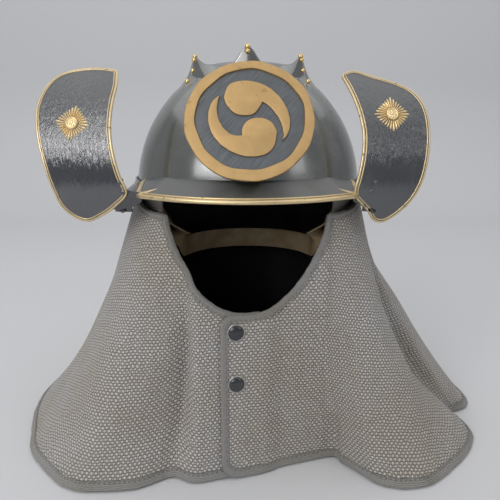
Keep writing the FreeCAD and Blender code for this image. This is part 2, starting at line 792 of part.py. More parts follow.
# Overlap strip: an outer layer over the left panel, and the wall's own layer up to the fold
outer_layer = cape_layer(flap_outer, flap_inner)
step_layer = cape_layer(flap_outer, -cloth)
flap_low = flap_floor_gap
flap_hem_z = flap_low + hem_band
free_x = flap_edge_x + binding_width
step_end = flap_step_x + flap_step_width


def flap_wall(outer, step, inner, x0, z0, z1):
    """The strip's wall from x0 to the fold, built of its three layers."""
    parts = [outer.common(box(x0, step_end, -far, front_wall_y, z0, z1)),
             step.common(box(flap_step_x, step_end, -far, front_wall_y, z0, z1)),
             inner.common(box(flap_step_x, flap_fold_x, -far, front_wall_y, z0, z1))]
    return fused(parts)


flap_cloth = flap_wall(outer_layer, step_layer, base, free_x, flap_hem_z, top_z).cut(bound_hole)
proud_outer = cape_layer(flap_outer + flap_binding_proud, flap_inner)
proud_step = cape_layer(flap_outer + flap_binding_proud, -cloth)
proud_base = cape_layer(flap_binding_proud, -cloth)
flap_hem = flap_wall(proud_outer, proud_step, proud_base, free_x, flap_low, flap_hem_z)
free_strip = proud_outer.common(box(flap_edge_x, free_x, -far, front_wall_y, flap_low, top_z))
flap_binding = fused([
    free_strip.cut(neck_hole),
    flap_wall(proud_outer, proud_step, proud_base, free_x, flap_hem_z, top_z).common(bound_edge)])


# Snaps
def front_place(x, z):
    """A placement on the cape's front face, with its own z pointing out of the cloth."""
    a, b = cape_points(z, 0)[:2]
    y = a.y + (b.y - a.y) * (x - a.x) / (b.x - a.x)
    out = V(b.y - a.y, a.x - b.x, 0)
    out.normalize()
    return FreeCAD.Placement(V(x, y, z), FreeCAD.Rotation(UP, out))


def button(radius, height):
    """A low dome on the plane z = 0."""
    half = Part.makeSphere(radius, ORIGIN, UP, 0, 90, 360)
    flat = FreeCAD.Matrix()
    flat.scale(1, 1, height / radius)
    return half.transformGeometry(flat)


def snap_group(shape):
    """One copy of a snap piece at each snap."""
    copies = []
    for z in snap_heights:
        copy = shape.copy()
        copy.Placement = front_place(snap_x, z).multiply(copy.Placement)
        copies.append(copy)
    return group(copies)


cap = button(snap_cap_radius, snap_cap_height)
cap.translate(V(0, 0, flap_outer))
socket_disc = Part.makeCylinder(snap_socket_radius, cloth, V(0, 0, flap_inner))
socket = socket_disc.cut(Part.makeCylinder(snap_knob_radius + snap_play, cloth, V(0, 0, flap_inner)))
knob = Part.makeCylinder(snap_flange_radius, snap_flange_thickness).fuse([
    Part.makeCylinder(snap_knob_radius, snap_knob_height),
    Part.makeCylinder(snap_pin_radius, cloth, V(0, 0, -cloth))])
post = Part.makeCylinder(snap_flange_radius, snap_flange_thickness,
                         V(0, 0, -cloth - snap_flange_thickness))
snap_caps, snap_sockets = snap_group(cap), snap_group(socket)
snap_studs, snap_posts = snap_group(knob), snap_group(post)
cape_left = cape_left.cut(snap_studs).cut(snap_posts)
cape_lining = cape_lining.cut(snap_posts)
socket_hole = Part.makeCylinder(snap_socket_radius, flap_outer)
flap_cloth = flap_cloth.cut(snap_group(socket_hole)).cut(snap_caps)

pieces = {
    "bowl_shell": bowl,
    "horn_studs": horn_studs,
    "visor_plate": visor_plate,
    "visor_rim": visor_rim,
    "crest_bracket": crest_bracket,
    "crest_bracket_rivets": bracket_rivets,
    "crest_disc": crest_disc,
    "crest_ring": crest_ring,
    "crest_comma_upper": crest_commas[0],
    "crest_comma_lower": crest_commas[1],
    "crest_socket": crest_socket,
    "crest_socket_rivets": crest_socket_rivets,
    "neck_plate": neck_plate,
    "neck_plate_rivets": neck_rivets,
    "lining_band": lining_band,
    "lining_cap": lining_cap,
    "nape_strap": nape_strap,
    "nape_strap_rivets": strap_rivets,
    "cape_top_tape": cape_top_tape,
    "cape_left": cape_left,
    "cape_right": cape_right,
    "cape_back": cape_back,
    "cape_lining": cape_lining,
    "cape_hem_binding": hem_binding,
    "cape_binding_left": binding_left,
    "cape_binding_right": binding_right,
    "flap_cloth": flap_cloth,
    "flap_hem": flap_hem,
    "flap_binding": flap_binding,
    "snap_caps": snap_caps,
    "snap_sockets": snap_sockets,
    "snap_studs": snap_studs,
    "snap_posts": snap_posts,
}
for name in side_plates:
    pieces["side_plate_" + name] = panels[name]
    pieces["side_plate_rim_" + name] = plate_rims[name]
    pieces["side_plate_rivets_" + name] = side_pins[name]
    pieces["rayed_stud_" + name] = stars[name]
    pieces["rayed_stud_boss_" + name] = bosses[name]

# The part's origin is the bottom centre of its box
whole = Part.makeCompound(list(pieces.values()))
bounds = whole.optimalBoundingBox(False, False)
shift = V(-bounds.Center.x, -bounds.Center.y, -bounds.ZMin)
fold_axis = V(flap_fold_x + flap_seam, fold_axis_y, 0) + shift
print("bowl axis", shift, "fold axis", fold_axis, "lift", crest_up)
for name, shape in pieces.items():
    shape.translate(shift)
    save(name, shape)
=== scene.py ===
"""The visual model of a lacquered fire helmet with a woven cape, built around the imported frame.

Sizes are in metres. The frame's axes are +Z up and the front at -Y, and the cape's hem is at z = 0.
Most shapes are worked out about the bowl's upright axis, and moved into the frame at the end.
"""

import logging
import math
from dataclasses import dataclass
from enum import Enum
from typing import Callable, Sequence, Union

import bmesh
import bpy
import numpy as np
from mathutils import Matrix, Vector

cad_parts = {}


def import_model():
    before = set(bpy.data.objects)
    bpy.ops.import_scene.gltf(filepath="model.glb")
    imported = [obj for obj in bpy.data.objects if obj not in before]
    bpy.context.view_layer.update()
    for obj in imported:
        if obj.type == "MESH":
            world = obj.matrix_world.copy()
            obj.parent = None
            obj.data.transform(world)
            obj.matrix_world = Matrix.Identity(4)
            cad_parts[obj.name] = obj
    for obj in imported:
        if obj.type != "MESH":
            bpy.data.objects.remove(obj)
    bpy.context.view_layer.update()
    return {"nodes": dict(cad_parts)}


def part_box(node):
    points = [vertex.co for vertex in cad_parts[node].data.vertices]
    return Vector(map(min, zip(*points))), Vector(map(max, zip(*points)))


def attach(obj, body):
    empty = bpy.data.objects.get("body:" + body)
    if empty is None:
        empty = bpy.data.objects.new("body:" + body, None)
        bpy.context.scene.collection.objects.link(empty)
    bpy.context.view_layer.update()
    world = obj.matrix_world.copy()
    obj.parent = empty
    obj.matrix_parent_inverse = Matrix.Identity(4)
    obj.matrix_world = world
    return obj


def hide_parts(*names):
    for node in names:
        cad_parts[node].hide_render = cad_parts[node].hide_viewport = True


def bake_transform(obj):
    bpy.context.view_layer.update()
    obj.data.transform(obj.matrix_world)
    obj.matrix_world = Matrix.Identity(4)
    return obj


LOG = logging.getLogger("fire_helmet")
Grid = np.ndarray
Thing, Material = bpy.types.Object, bpy.types.Material
Tree, Node = bpy.types.NodeTree, bpy.types.Node
Socket, Outputs = bpy.types.NodeSocket, bpy.types.NodeOutputs
Value = Union[float, tuple, Socket]

# Edges sharper than these angles stay sharp, and rims are drawn with this spacing of points.
SHARP_MESH = math.radians(42)
SHARP_PLATE = math.radians(35)
RIM_SPACING = 0.0011


class Slot(Enum):
    """Material slots of the record."""

    BLACK_LACQUER = "black_lacquer"
    CHARCOAL = "charcoal_lacquer"
    GILT = "gilt"
    BRASS = "aged_brass"
    QUILTED = "quilted_cotton"
    TAPE = "grey_tape"
    LINING = "lining_cotton"
    LEATHER = "tan_leather"
    BAND = "band_leather"
    ENAMEL = "snap_enamel"


class Body(Enum):
    """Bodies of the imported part."""

    HELMET = "helmet"
    CREST = "crest"
    FLAP = "cape_flap"


@dataclass(frozen=True)
class Place:
    """Where the bowl stands in the frame."""

    x: float
    y: float
    rim: float
    radius: float

    def shift(self, points: Grid) -> Grid:
        """Move points from the bowl's axis into the frame."""
        return np.asarray(points, float) + np.array([self.x, self.y, 0.0])


def smooth_step(value: Grid, low: float, high: float) -> Grid:
    """Ease from 0 to 1 between two values."""
    t = np.clip((np.asarray(value, float) - low) / (high - low), 0.0, 1.0)
    return t * t * (3 - 2 * t)


def unit(vectors: Grid) -> Grid:
    """Scale vectors to length 1."""
    size = np.linalg.norm(vectors, axis=-1, keepdims=True)
    return vectors / np.maximum(size, 1e-12)


def arc_length(points: Grid) -> Grid:
    """Distance along a line of points, from 0."""
    steps = np.linalg.norm(np.diff(points, axis=0), axis=1)
    return np.concatenate([[0.0], np.cumsum(steps)])


def respaced(points: Grid, spacing: float) -> Grid:
    """Points along the same line, evenly spaced."""
    along = arc_length(points)
    count = max(2, int(round(along[-1] / spacing)) + 1)
    at = np.linspace(0, along[-1], count)
    return np.stack([np.interp(at, along, points[:, k]) for k in range(points.shape[1])], axis=1)


def relaxed(points: Grid, rounds: int, closed: bool) -> Grid:
    """Round a line of points off by averaging neighbours."""
    out = points.copy()
    for _ in range(rounds):
        mean = (np.roll(out, 1, 0) + 2 * out + np.roll(out, -1, 0)) / 4
        if not closed:
            mean[0], mean[-1] = out[0], out[-1]
        out = mean
    return out


def linked(name: str, data: bpy.types.ID) -> Thing:
    """Place data in the scene as a new object."""
    thing = bpy.data.objects.new(name, data)
    bpy.context.scene.collection.objects.link(thing)
    return thing


def baked(name: str, holder: Thing) -> Thing:
    """Make a plain mesh of an object as its modifiers or curve show it, and drop the object."""
    bpy.context.view_layer.update()
    graph = bpy.context.evaluated_depsgraph_get()
    data = bpy.data.meshes.new_from_object(holder.evaluated_get(graph))
    bpy.data.objects.remove(holder)
    return linked(name, data)


def quads(index: Grid, round_rows: bool, round_columns: bool) -> list:
    """Faces between neighbouring rows and columns of point numbers."""
    rows, cols = index.shape
    return [[index[i, j], index[i, (j + 1) % cols], index[(i + 1) % rows, (j + 1) % cols],
             index[(i + 1) % rows, j]]
            for i in range(rows if round_rows else rows - 1)
            for j in range(cols if round_columns else cols - 1)]


def tube_faces(rings: Grid, closed: bool) -> list:
    """Faces that join rings of points, with a face at each end of an open tube."""
    index = np.arange(rings.shape[0] * rings.shape[1]).reshape(rings.shape[:2])
    faces = quads(index, closed, True)
    if not closed:
        faces += [list(index[0][::-1]), list(index[-1])]
    return faces


def around(radius: Grid, azimuth: Grid, z: Grid) -> Grid:
    """Points about the bowl's axis, with azimuth 0 in front."""
    return np.stack([radius * np.sin(azimuth), -radius * np.cos(azimuth), z], axis=-1)


def hermite(share: Grid, gap: Grid, ends: Sequence[Grid], slopes: Sequence[Grid]) -> Grid:
    """Values on a smooth curve between two ends with given slopes."""
    square, cube = share ** 2, share ** 3
    return ((2 * cube - 3 * square + 1) * ends[0] + (cube - 2 * square + share) * gap * slopes[0]
            + (3 * square - 2 * cube) * ends[1] + (cube - square) * gap * slopes[1])


class Maker:
    """Turns grids of points into finished pieces of the object."""

    def __init__(self, place: Place) -> None:
        """Keep the place that all points are moved to."""
        self.place = place

    def mesh(self, name: str, points: Grid, faces: list, uvs: Grid = None) -> Thing:
        """Make a closed mesh whose faces point outwards.

        Args:
            name: The piece's name.
            points: Its points about the bowl's axis.
            faces: Lists of point numbers.
            uvs: One pair for each point.

        Returns:
            The new object.
        """
        points = self.place.shift(points)
        if volume(points, faces) < 0:
            faces = [face[::-1] for face in faces]
        data = bpy.data.meshes.new(name)
        data.from_pydata(points.tolist(), [], faces)
        if uvs is not None:
            corner = np.zeros(len(data.loops), np.int32)
            data.loops.foreach_get("vertex_index", corner)
            layer = data.uv_layers.new(name="cloth")
            layer.data.foreach_set("uv", np.asarray(uvs, np.float32)[corner].ravel())
        data.shade_smooth()
        data.set_sharp_from_angle(angle=SHARP_MESH)
        return linked(name, data)

    def shell(self, name: str, outer: Grid, inner: Grid, uv: Grid = None) -> Thing:
        """Make the closed wall between two grids of points.

        Args:
            name: The piece's name.
            outer: Rows of points on one side.
            inner: The same rows on the other side.
            uv: Rows of pairs, or nothing.

        Returns:
            The new object.
        """
        rows, cols = outer.shape[:2]
        size = rows * cols
        index = np.arange(size).reshape(rows, cols)
        faces = quads(index, False, False)
        back = [[p + size for p in face[::-1]] for face in faces]
        border = [(index[0, j + 1], index[0, j]) for j in range(cols - 1)]
        border += [(index[-1, j], index[-1, j + 1]) for j in range(cols - 1)]
        border += [(index[i, 0], index[i + 1, 0]) for i in range(rows - 1)]
        border += [(index[i + 1, -1], index[i, -1]) for i in range(rows - 1)]
        sides = [[a, b, b + size, a + size] for a, b in border]
        points = np.concatenate([outer.reshape(size, 3), inner.reshape(size, 3)])
        uvs = None if uv is None else np.concatenate([uv.reshape(size, 2)] * 2)
        return welded(self.mesh(name, points, faces + back + sides, uvs))

    def sweep(self, name: str, path: Grid, inward: Grid, outward: Grid,
              profile: Callable[[float], Grid], closed: bool) -> Thing:
        """Sweep a closed profile along a line that lies on a surface.

        Args:
            name: The piece's name.
            path: Points along the line.
            inward: At each point, the direction into the surface's sheet.
            outward: At each point, the direction out of its face.
            profile: Gives the profile's pairs (inward, outward) at a distance along the line.
            closed: Whether the line closes on itself.

        Returns:
            The new object.
        """
        along = arc_length(path)
        rings = []
        for i, point in enumerate(path):
            pairs = profile(along[i])
            rings.append(point + pairs[:, :1] * inward[i] + pairs[:, 1:] * outward[i])
        rings = np.array(rings)
        perimeter = arc_length(np.vstack([profile(0.0), profile(0.0)[:1]]))[:-1]
        uvs = np.stack(np.broadcast_arrays(along[:, None], perimeter[None, :]), axis=-1)
        return self.mesh(name, rings.reshape(-1, 3), tube_faces(rings, closed), uvs.reshape(-1, 2))

    def turned(self, name: str, profile: Grid, start: float = 0.0, end: float = 360.0,
               steps: int = 180) -> Thing:
        """Turn a closed profile of (radius, height) pairs about the bowl's axis.

        Args:
            name: The piece's name.
            profile: The profile's pairs.
            start: The first azimuth from the front, in degrees.
            end: The last azimuth.
            steps: How many steps to make.

        Returns:
            The new object.
        """
        full = abs(end - start) >= 360
        angles = np.radians(np.linspace(start, end, steps + 1))[:steps if full else steps + 1]
        path = np.zeros((len(angles), 3))
        outward = np.stack([np.sin(angles), -np.cos(angles), np.zeros(len(angles))], axis=1)
        up = np.tile([0.0, 0.0, 1.0], (len(angles), 1))
        return self.sweep(name, path, outward, up, lambda s: profile, full)

    def hoop(self, name: str, rings: Grid, distance: float = 1e-6) -> Thing:
        """Join rings of points all the way round, and merge points closer than a distance."""
        return welded(self.mesh(name, rings.reshape(-1, 3), tube_faces(rings, True)), distance)


def volume(points: Grid, faces: list) -> float:
    """Signed volume of a closed mesh."""
    corners = [(f[0], f[i], f[i + 1]) for f in faces for i in range(1, len(f) - 1)]
    a, b, c = (points[[t[k] for t in corners]] for k in range(3))
    return float((a * np.cross(b, c)).sum() / 6)


def welded(thing: Thing, distance: float = 1e-6) -> Thing:
    """Merge the doubles of a mesh and drop its empty faces."""
    work = bmesh.new()
    work.from_mesh(thing.data)
    bmesh.ops.remove_doubles(work, verts=work.verts, dist=distance)
    work.to_mesh(thing.data)
    work.free()
    return thing


class Nodes:
    """A node tree, filled by short calls."""

    def __init__(self, tree: Tree) -> None:
        """Keep the tree."""
        self.tree = tree

    def add(self, kind: str, **settings) -> Node:
        """Add a node and set its properties."""
        node = self.tree.nodes.new(kind)
        for name, value in settings.items():
            setattr(node, name, value)
        return node

    def feed(self, socket: Socket, value: Value) -> None:
        """Link a socket to another, or set its value."""
        if isinstance(value, Socket):
            self.tree.links.new(value, socket)
        elif isinstance(value, tuple) and len(value) == 3 and socket.type == "RGBA":
            socket.default_value = (*value, 1.0)
        else:
            socket.default_value = value

    def fill(self, node: Node, given: dict) -> Node:
        """Feed a node's inputs, given by name or number."""
        for key, value in given.items():
            self.feed(node.inputs[key], value)
        return node

    def made(self, kind: str, given: dict, **settings) -> Node:
        """Add a node, set its properties and feed its inputs."""
        return self.fill(self.add(kind, **settings), given)

    def math(self, operation: str, *values: Value) -> Socket:
        """A Math node on one, two or three values."""
        return self.made("ShaderNodeMath", dict(enumerate(values)), operation=operation).outputs[0]

    def mix(self, factor: Value, first: Value, second: Value,
            blend: str = "MIX") -> Socket:
        """A colour mix."""
        return self.made("ShaderNodeMix", {0: factor, 6: first, 7: second}, data_type="RGBA",
                         blend_type=blend).outputs[2]

    def faded(self, mask: Value, share: float, first: Value,
              second: Value) -> Socket:
        """A colour mix whose mask is weakened to a share."""
        return self.mix(self.math("MULTIPLY", mask, share), first, second)

    def ease(self, value: Value, low: Value, high: Value) -> Socket:
        """A smooth Map Range from 0 to 1."""
        return self.made("ShaderNodeMapRange", {0: value, 1: low, 2: high},
                         interpolation_type="SMOOTHSTEP").outputs[0]

    def noise(self, vector: Value, scale: Value, detail: float, roughness: float = 0.55,
              distortion: float = 0.0) -> Socket:
        """A Noise Texture's value."""
        return self.made("ShaderNodeTexNoise", {
            "Vector": vector, "Scale": scale, "Detail": detail, "Roughness": roughness,
            "Distortion": distortion}).outputs[0]

    def stretch(self, vector: Value, scale: Value) -> Socket:
        """A vector scaled on each axis."""
        return self.made("ShaderNodeVectorMath", {0: vector, 1: scale},
                         operation="MULTIPLY").outputs[0]

    def combine(self, *parts: Value) -> Socket:
        """A vector from its parts."""
        return self.made("ShaderNodeCombineXYZ", dict(enumerate(parts))).outputs[0]

    def split(self, vector: Value) -> Outputs:
        """A vector's three parts."""
        return self.made("ShaderNodeSeparateXYZ", {0: vector}).outputs

    def bump(self, height: Value, strength: float, distance: float) -> Socket:
        """A Bump node's normal."""
        return self.made("ShaderNodeBump", {"Strength": strength, "Distance": distance,
                                            "Height": height}).outputs[0]

    def group(self, tree: Tree, **values: Value) -> Outputs:
        """Place a shader node group with its own values."""
        given = {name.capitalize(): value for name, value in values.items()}
        return self.made("ShaderNodeGroup", given, node_tree=tree).outputs


def group_tree(name: str, inputs: dict, outputs: Sequence[str]) -> tuple:
    """Start a shader node group.

    Args:
        name: The group's name.
        inputs: Each input's name and default; a missing default makes a vector.
        outputs: The names of its value outputs.

    Returns:
        The Nodes of the group, its input node's sockets and its output node.
    """
    tree = bpy.data.node_groups.new(name, "ShaderNodeTree")
    for label, default in inputs.items():
        kind = "NodeSocketVector" if default is None else "NodeSocketFloat"
        socket = tree.interface.new_socket(name=label, in_out="INPUT", socket_type=kind)
        if default is not None:
            socket.default_value = default
    for label in outputs:
        tree.interface.new_socket(name=label, in_out="OUTPUT", socket_type="NodeSocketFloat")
    nodes = Nodes(tree)
    return nodes, nodes.add("NodeGroupInput").outputs, nodes.add("NodeGroupOutput")


class Effects:
    """Shader node groups that several finishes share."""

    def __init__(self) -> None:
        """Build each group once."""
        self.weave = self.build_weave()
        self.patches = self.build_patches()
        self.brushed = self.build_brushed()
        self.chips = self.build_chips()

    @staticmethod
    def build_weave() -> Tree:
        """A plain weave: height, how far a spot is from a gap, warp or weft, and a tone."""
        nodes, given, result = group_tree(
            "plain_weave", {"Vector": None, "Across": 0.002, "Along": 0.0024, "Wobble": 0.1},
            ("Height", "Thread", "Warp", "Tone"))
        u, v, _ = nodes.split(given["Vector"])
        lumps = nodes.math("SUBTRACT", nodes.noise(given["Vector"], 90.0, 2.0), 0.5)
        lean = nodes.math("MULTIPLY", lumps, nodes.math("MULTIPLY", given["Wobble"], 14.0))
        cells = [nodes.math("ADD", nodes.math("DIVIDE", axis, given[size]), lean)
                 for axis, size in ((u, "Across"), (v, "Along"))]
        waves = [nodes.math("SINE", nodes.math("MULTIPLY", cell, math.pi)) for cell in cells]
        over = nodes.math("MULTIPLY_ADD", nodes.math("ABSOLUTE", waves[1]), 0.5,
                          nodes.math("MULTIPLY", *waves))
        raised = nodes.math("POWER", nodes.math("MINIMUM", nodes.math("ABSOLUTE", over), 1.0), 0.7)
        warp = nodes.math("GREATER_THAN", over, 0.0)
        low = nodes.math("MULTIPLY", raised, nodes.math("MULTIPLY_ADD", warp, 0.35, 0.65))
        corner = nodes.combine(*[nodes.math("FLOOR", cell) for cell in cells])
        tick = nodes.made("ShaderNodeTexWhiteNoise", {"Vector": corner}, noise_dimensions="2D")
        nodes.fill(result, {"Height": low, "Thread": raised, "Warp": warp, "Tone": tick.outputs[0]})
        return nodes.tree

    @staticmethod
    def build_patches() -> Tree:
        """Soft uneven patches, from 0 to 1."""
        nodes, given, result = group_tree(
            "uneven_patches", {"Vector": None, "Scale": 20.0, "Low": 0.4, "High": 0.65}, ("Mask",))
        cloud = nodes.noise(given["Vector"], given["Scale"], 5.0, 0.6, 0.4)
        nodes.fill(result, {"Mask": nodes.ease(cloud, given["Low"], given["High"])})
        return nodes.tree

    @staticmethod
    def build_brushed() -> Tree:
        """Fine streaks of a brush along one direction, given by a stretched vector."""
        nodes, given, result = group_tree(
            "brush_streaks", {"Vector": None, "Scale": 400.0}, ("Streak",))
        fine = nodes.noise(given["Vector"], given["Scale"], 4.0, 0.6, 0.2)
        nodes.fill(result, {"Streak": fine})
        return nodes.tree

    @staticmethod
    def build_chips() -> Tree:
        """Small sharp-edged chips and specks, from 0 to 1."""
        nodes, given, result = group_tree(
            "chips", {"Vector": None, "Scale": 140.0, "Share": 0.7}, ("Mask",))
        fine = nodes.noise(given["Vector"], given["Scale"], 6.0, 0.65, 0.8)
        high = nodes.math("ADD", given["Share"], 0.02)
        nodes.fill(result, {"Mask": nodes.ease(fine, given["Share"], high)})
        return nodes.tree


class Canvas:
    """A material's nodes, ready for a finish's pattern."""

    def __init__(self, material: Material, effects: Effects) -> None:
        """Start the material's tree with its shader and its coordinates."""
        material.use_nodes = True
        material.node_tree.nodes.clear()
        self.nodes, self.effects = Nodes(material.node_tree), effects
        self.shader = self.nodes.add("ShaderNodeBsdfPrincipled")
        self.nodes.made("ShaderNodeOutputMaterial", {"Surface": self.shader.outputs[0]})
        at = self.nodes.add("ShaderNodeTexCoord").outputs
        self.spot, self.flat = at["Object"], at["UV"]

    def mask(self, group: Tree, at: Socket = None,
             **values: float) -> Socket:
        """The first value of a shared group, on the piece's own coordinates or on others."""
        return self.nodes.group(group, vector=self.spot if at is None else at, **values)[0]

    def shade(self, given: dict) -> None:
        """Feed the shader's inputs."""
        self.nodes.fill(self.shader, given)


@dataclass(frozen=True)
class Finish:
    """One finish: the base that each kind of finish adds its pattern to."""

    name: str
    colour: tuple
    roughness: float = 0.5
    metallic: float = 0.0
    coat: float = 0.0

    def build(self, effects: Effects) -> Material:
        """Make the material with the shared node groups."""
        material = bpy.data.materials.new(self.name)
        canvas = Canvas(material, effects)
        canvas.shade({"Base Color": self.colour, "Roughness": self.roughness,
                      "Metallic": self.metallic, "Coat Weight": self.coat})
        self.pattern(canvas)
        return material

    def pattern(self, canvas: Canvas) -> None:
        """Add the finish's own pattern."""


@dataclass(frozen=True)
class Lacquer(Finish):
    """Black lacquer over a hand-made base, with soft waves, dust and brush marks."""

    worn: tuple = (0.055, 0.056, 0.05)
    streaks: float = 0.0
    waves: float = 0.25
    ior: float = 1.85

    def pattern(self, canvas: Canvas) -> None:
        """Waves and streaks in the gloss, paler rubbed patches and specks."""
        nodes, effects = canvas.nodes, canvas.effects
        rubbed = canvas.mask(effects.patches, scale=16.0, low=0.42, high=0.78)
        specks = canvas.mask(effects.chips, scale=260.0, share=0.735)
        tint = nodes.faded(rubbed, 0.6, self.colour, self.worn)
        dull = nodes.math("MULTIPLY_ADD", rubbed, 0.14, self.roughness)
        along = nodes.stretch(canvas.spot, (1.0, 1.0, 0.06))
        streak = canvas.mask(effects.brushed, along, scale=420.0)
        wave = nodes.noise(canvas.spot, 34.0, 2.0, 0.5)
        height = nodes.math("ADD", nodes.math("MULTIPLY", wave, self.waves),
                            nodes.math("MULTIPLY", streak, self.streaks))
        canvas.shade({"Base Color": nodes.mix(specks, tint, (0.16, 0.15, 0.13)),
                      "Roughness": nodes.math("MULTIPLY_ADD", specks, 0.3, dull),
                      "Normal": nodes.bump(height, 0.35, 0.001), "IOR": self.ior})


@dataclass(frozen=True)
class Gold(Finish):
    """Gilding or brass: brushed, uneven, rubbed darker in places."""

    dark: tuple = (0.3, 0.19, 0.08)
    grain: float = 0.5
    age: float = 0.5

    def pattern(self, canvas: Canvas) -> None:
        """Uneven tone, tarnish, chips and a brushed grain."""
        nodes, effects = canvas.nodes, canvas.effects
        cloud = canvas.mask(effects.patches, scale=60.0, low=0.35, high=0.75)
        tarnish = canvas.mask(effects.patches, scale=150.0, low=0.6, high=0.7)
        chips = canvas.mask(effects.chips, scale=210.0, share=0.73)
        pale = tuple(min(1.0, part * 1.14) for part in self.colour)
        tone = nodes.faded(tarnish, self.age, nodes.mix(cloud, self.colour, pale), self.dark)
        tone = nodes.faded(chips, self.age, tone, (0.03, 0.025, 0.02))
        along = nodes.stretch(canvas.spot, (1.0, 0.5, 0.25))
        streak = canvas.mask(effects.brushed, along, scale=700.0)
        relief = nodes.math("MULTIPLY", streak, self.grain)
        canvas.shade({"Base Color": tone, "Normal": nodes.bump(relief, 0.5, 0.0004),
                      "Roughness": nodes.math("MULTIPLY_ADD", tarnish, 0.22, self.roughness)})


@dataclass(frozen=True)
class Woven(Finish):
    """Cloth with a visible weave on its own flat cut."""

    # The gap and weft colours are painted shade: darker than the cloth's own colour where threads
    # sink into the gaps and on the weft threads.
    gap: tuple = (0.05, 0.045, 0.045)
    weft: tuple = (0.2, 0.19, 0.19)
    across: float = 0.0021
    along: float = 0.0025
    stain: tuple = (0.1, 0.09, 0.05)
    stained: float = 0.35

    def pattern(self, canvas: Canvas) -> None:
        """Threads over and under, tints and stains, with painted shade: the weft threads darker and
        the colour falling to the dark gap colour down between threads.
        """
        nodes, effects = canvas.nodes, canvas.effects
        height, thread, warp, tone = nodes.group(effects.weave, vector=canvas.flat,
                                                 across=self.across, along=self.along)
        tint = canvas.mask(effects.patches, scale=9.0, low=0.35, high=0.7)
        dirt = canvas.mask(effects.patches, scale=24.0, low=0.6, high=0.78)
        bright = tuple(part * 1.35 for part in self.colour)
        # Painted shade: the weft threads take the darker weft colour, and the colour falls to the
        # gap colour between threads.
        grain = nodes.faded(tone, 0.35, nodes.mix(warp, self.weft, self.colour), bright)
        shaded = nodes.mix(nodes.ease(thread, 0.0, 0.7), self.gap, grain)
        olive = nodes.mix(1.0, shaded, (0.9, 0.86, 0.76), "MULTIPLY")
        shaded = nodes.faded(dirt, self.stained, nodes.mix(tint, shaded, olive), self.stain)
        canvas.shade({"Base Color": shaded, "Normal": nodes.bump(height, 0.9, 0.0012),
                      "Sheen Weight": 0.12, "Sheen Roughness": 0.5, "Specular IOR Level": 0.25})


@dataclass(frozen=True)
class Leather(Finish):
    """Soft leather with pores, creases and rubbed paler places."""

    pale: tuple = (0.4, 0.3, 0.18)

    def pattern(self, canvas: Canvas) -> None:
        """Pores in the relief, and rubbed patches."""
        nodes = canvas.nodes
        rubbed = canvas.mask(canvas.effects.patches, scale=45.0, low=0.4, high=0.7)
        cells = nodes.made("ShaderNodeTexVoronoi", {"Vector": canvas.spot, "Scale": 900.0},
                           feature="DISTANCE_TO_EDGE")
        canvas.shade({"Base Color": nodes.faded(rubbed, 0.6, self.colour, self.pale),
                      "Normal": nodes.bump(cells.outputs[0], 0.4, 0.0003)})


@dataclass(frozen=True)
class CrestField(Lacquer):
    """Worn dark lacquer, rubbed in fine lines that run up to the right."""

    def pattern(self, canvas: Canvas) -> None:
        """Fine slanting lines, in the tone and the relief."""
        nodes, effects = canvas.nodes, canvas.effects
        x, _, z = nodes.split(canvas.spot)
        slant = nodes.combine(nodes.math("SUBTRACT", z, x),
                              nodes.math("MULTIPLY", nodes.math("ADD", x, z), 0.05))
        line = canvas.mask(effects.brushed, slant, scale=900.0)
        cloud = canvas.mask(effects.patches, scale=55.0, low=0.35, high=0.7)
        specks = canvas.mask(effects.chips, scale=330.0, share=0.72)
        tone = nodes.mix(nodes.ease(line, 0.38, 0.62), self.colour, self.worn)
        tone = nodes.faded(cloud, 0.4, tone, self.worn)
        relief = nodes.math("MULTIPLY", line, self.streaks)
        canvas.shade({"Base Color": nodes.mix(specks, tone, (0.2, 0.19, 0.17)),
                      "Normal": nodes.bump(relief, 0.35, 0.0006), "IOR": self.ior})


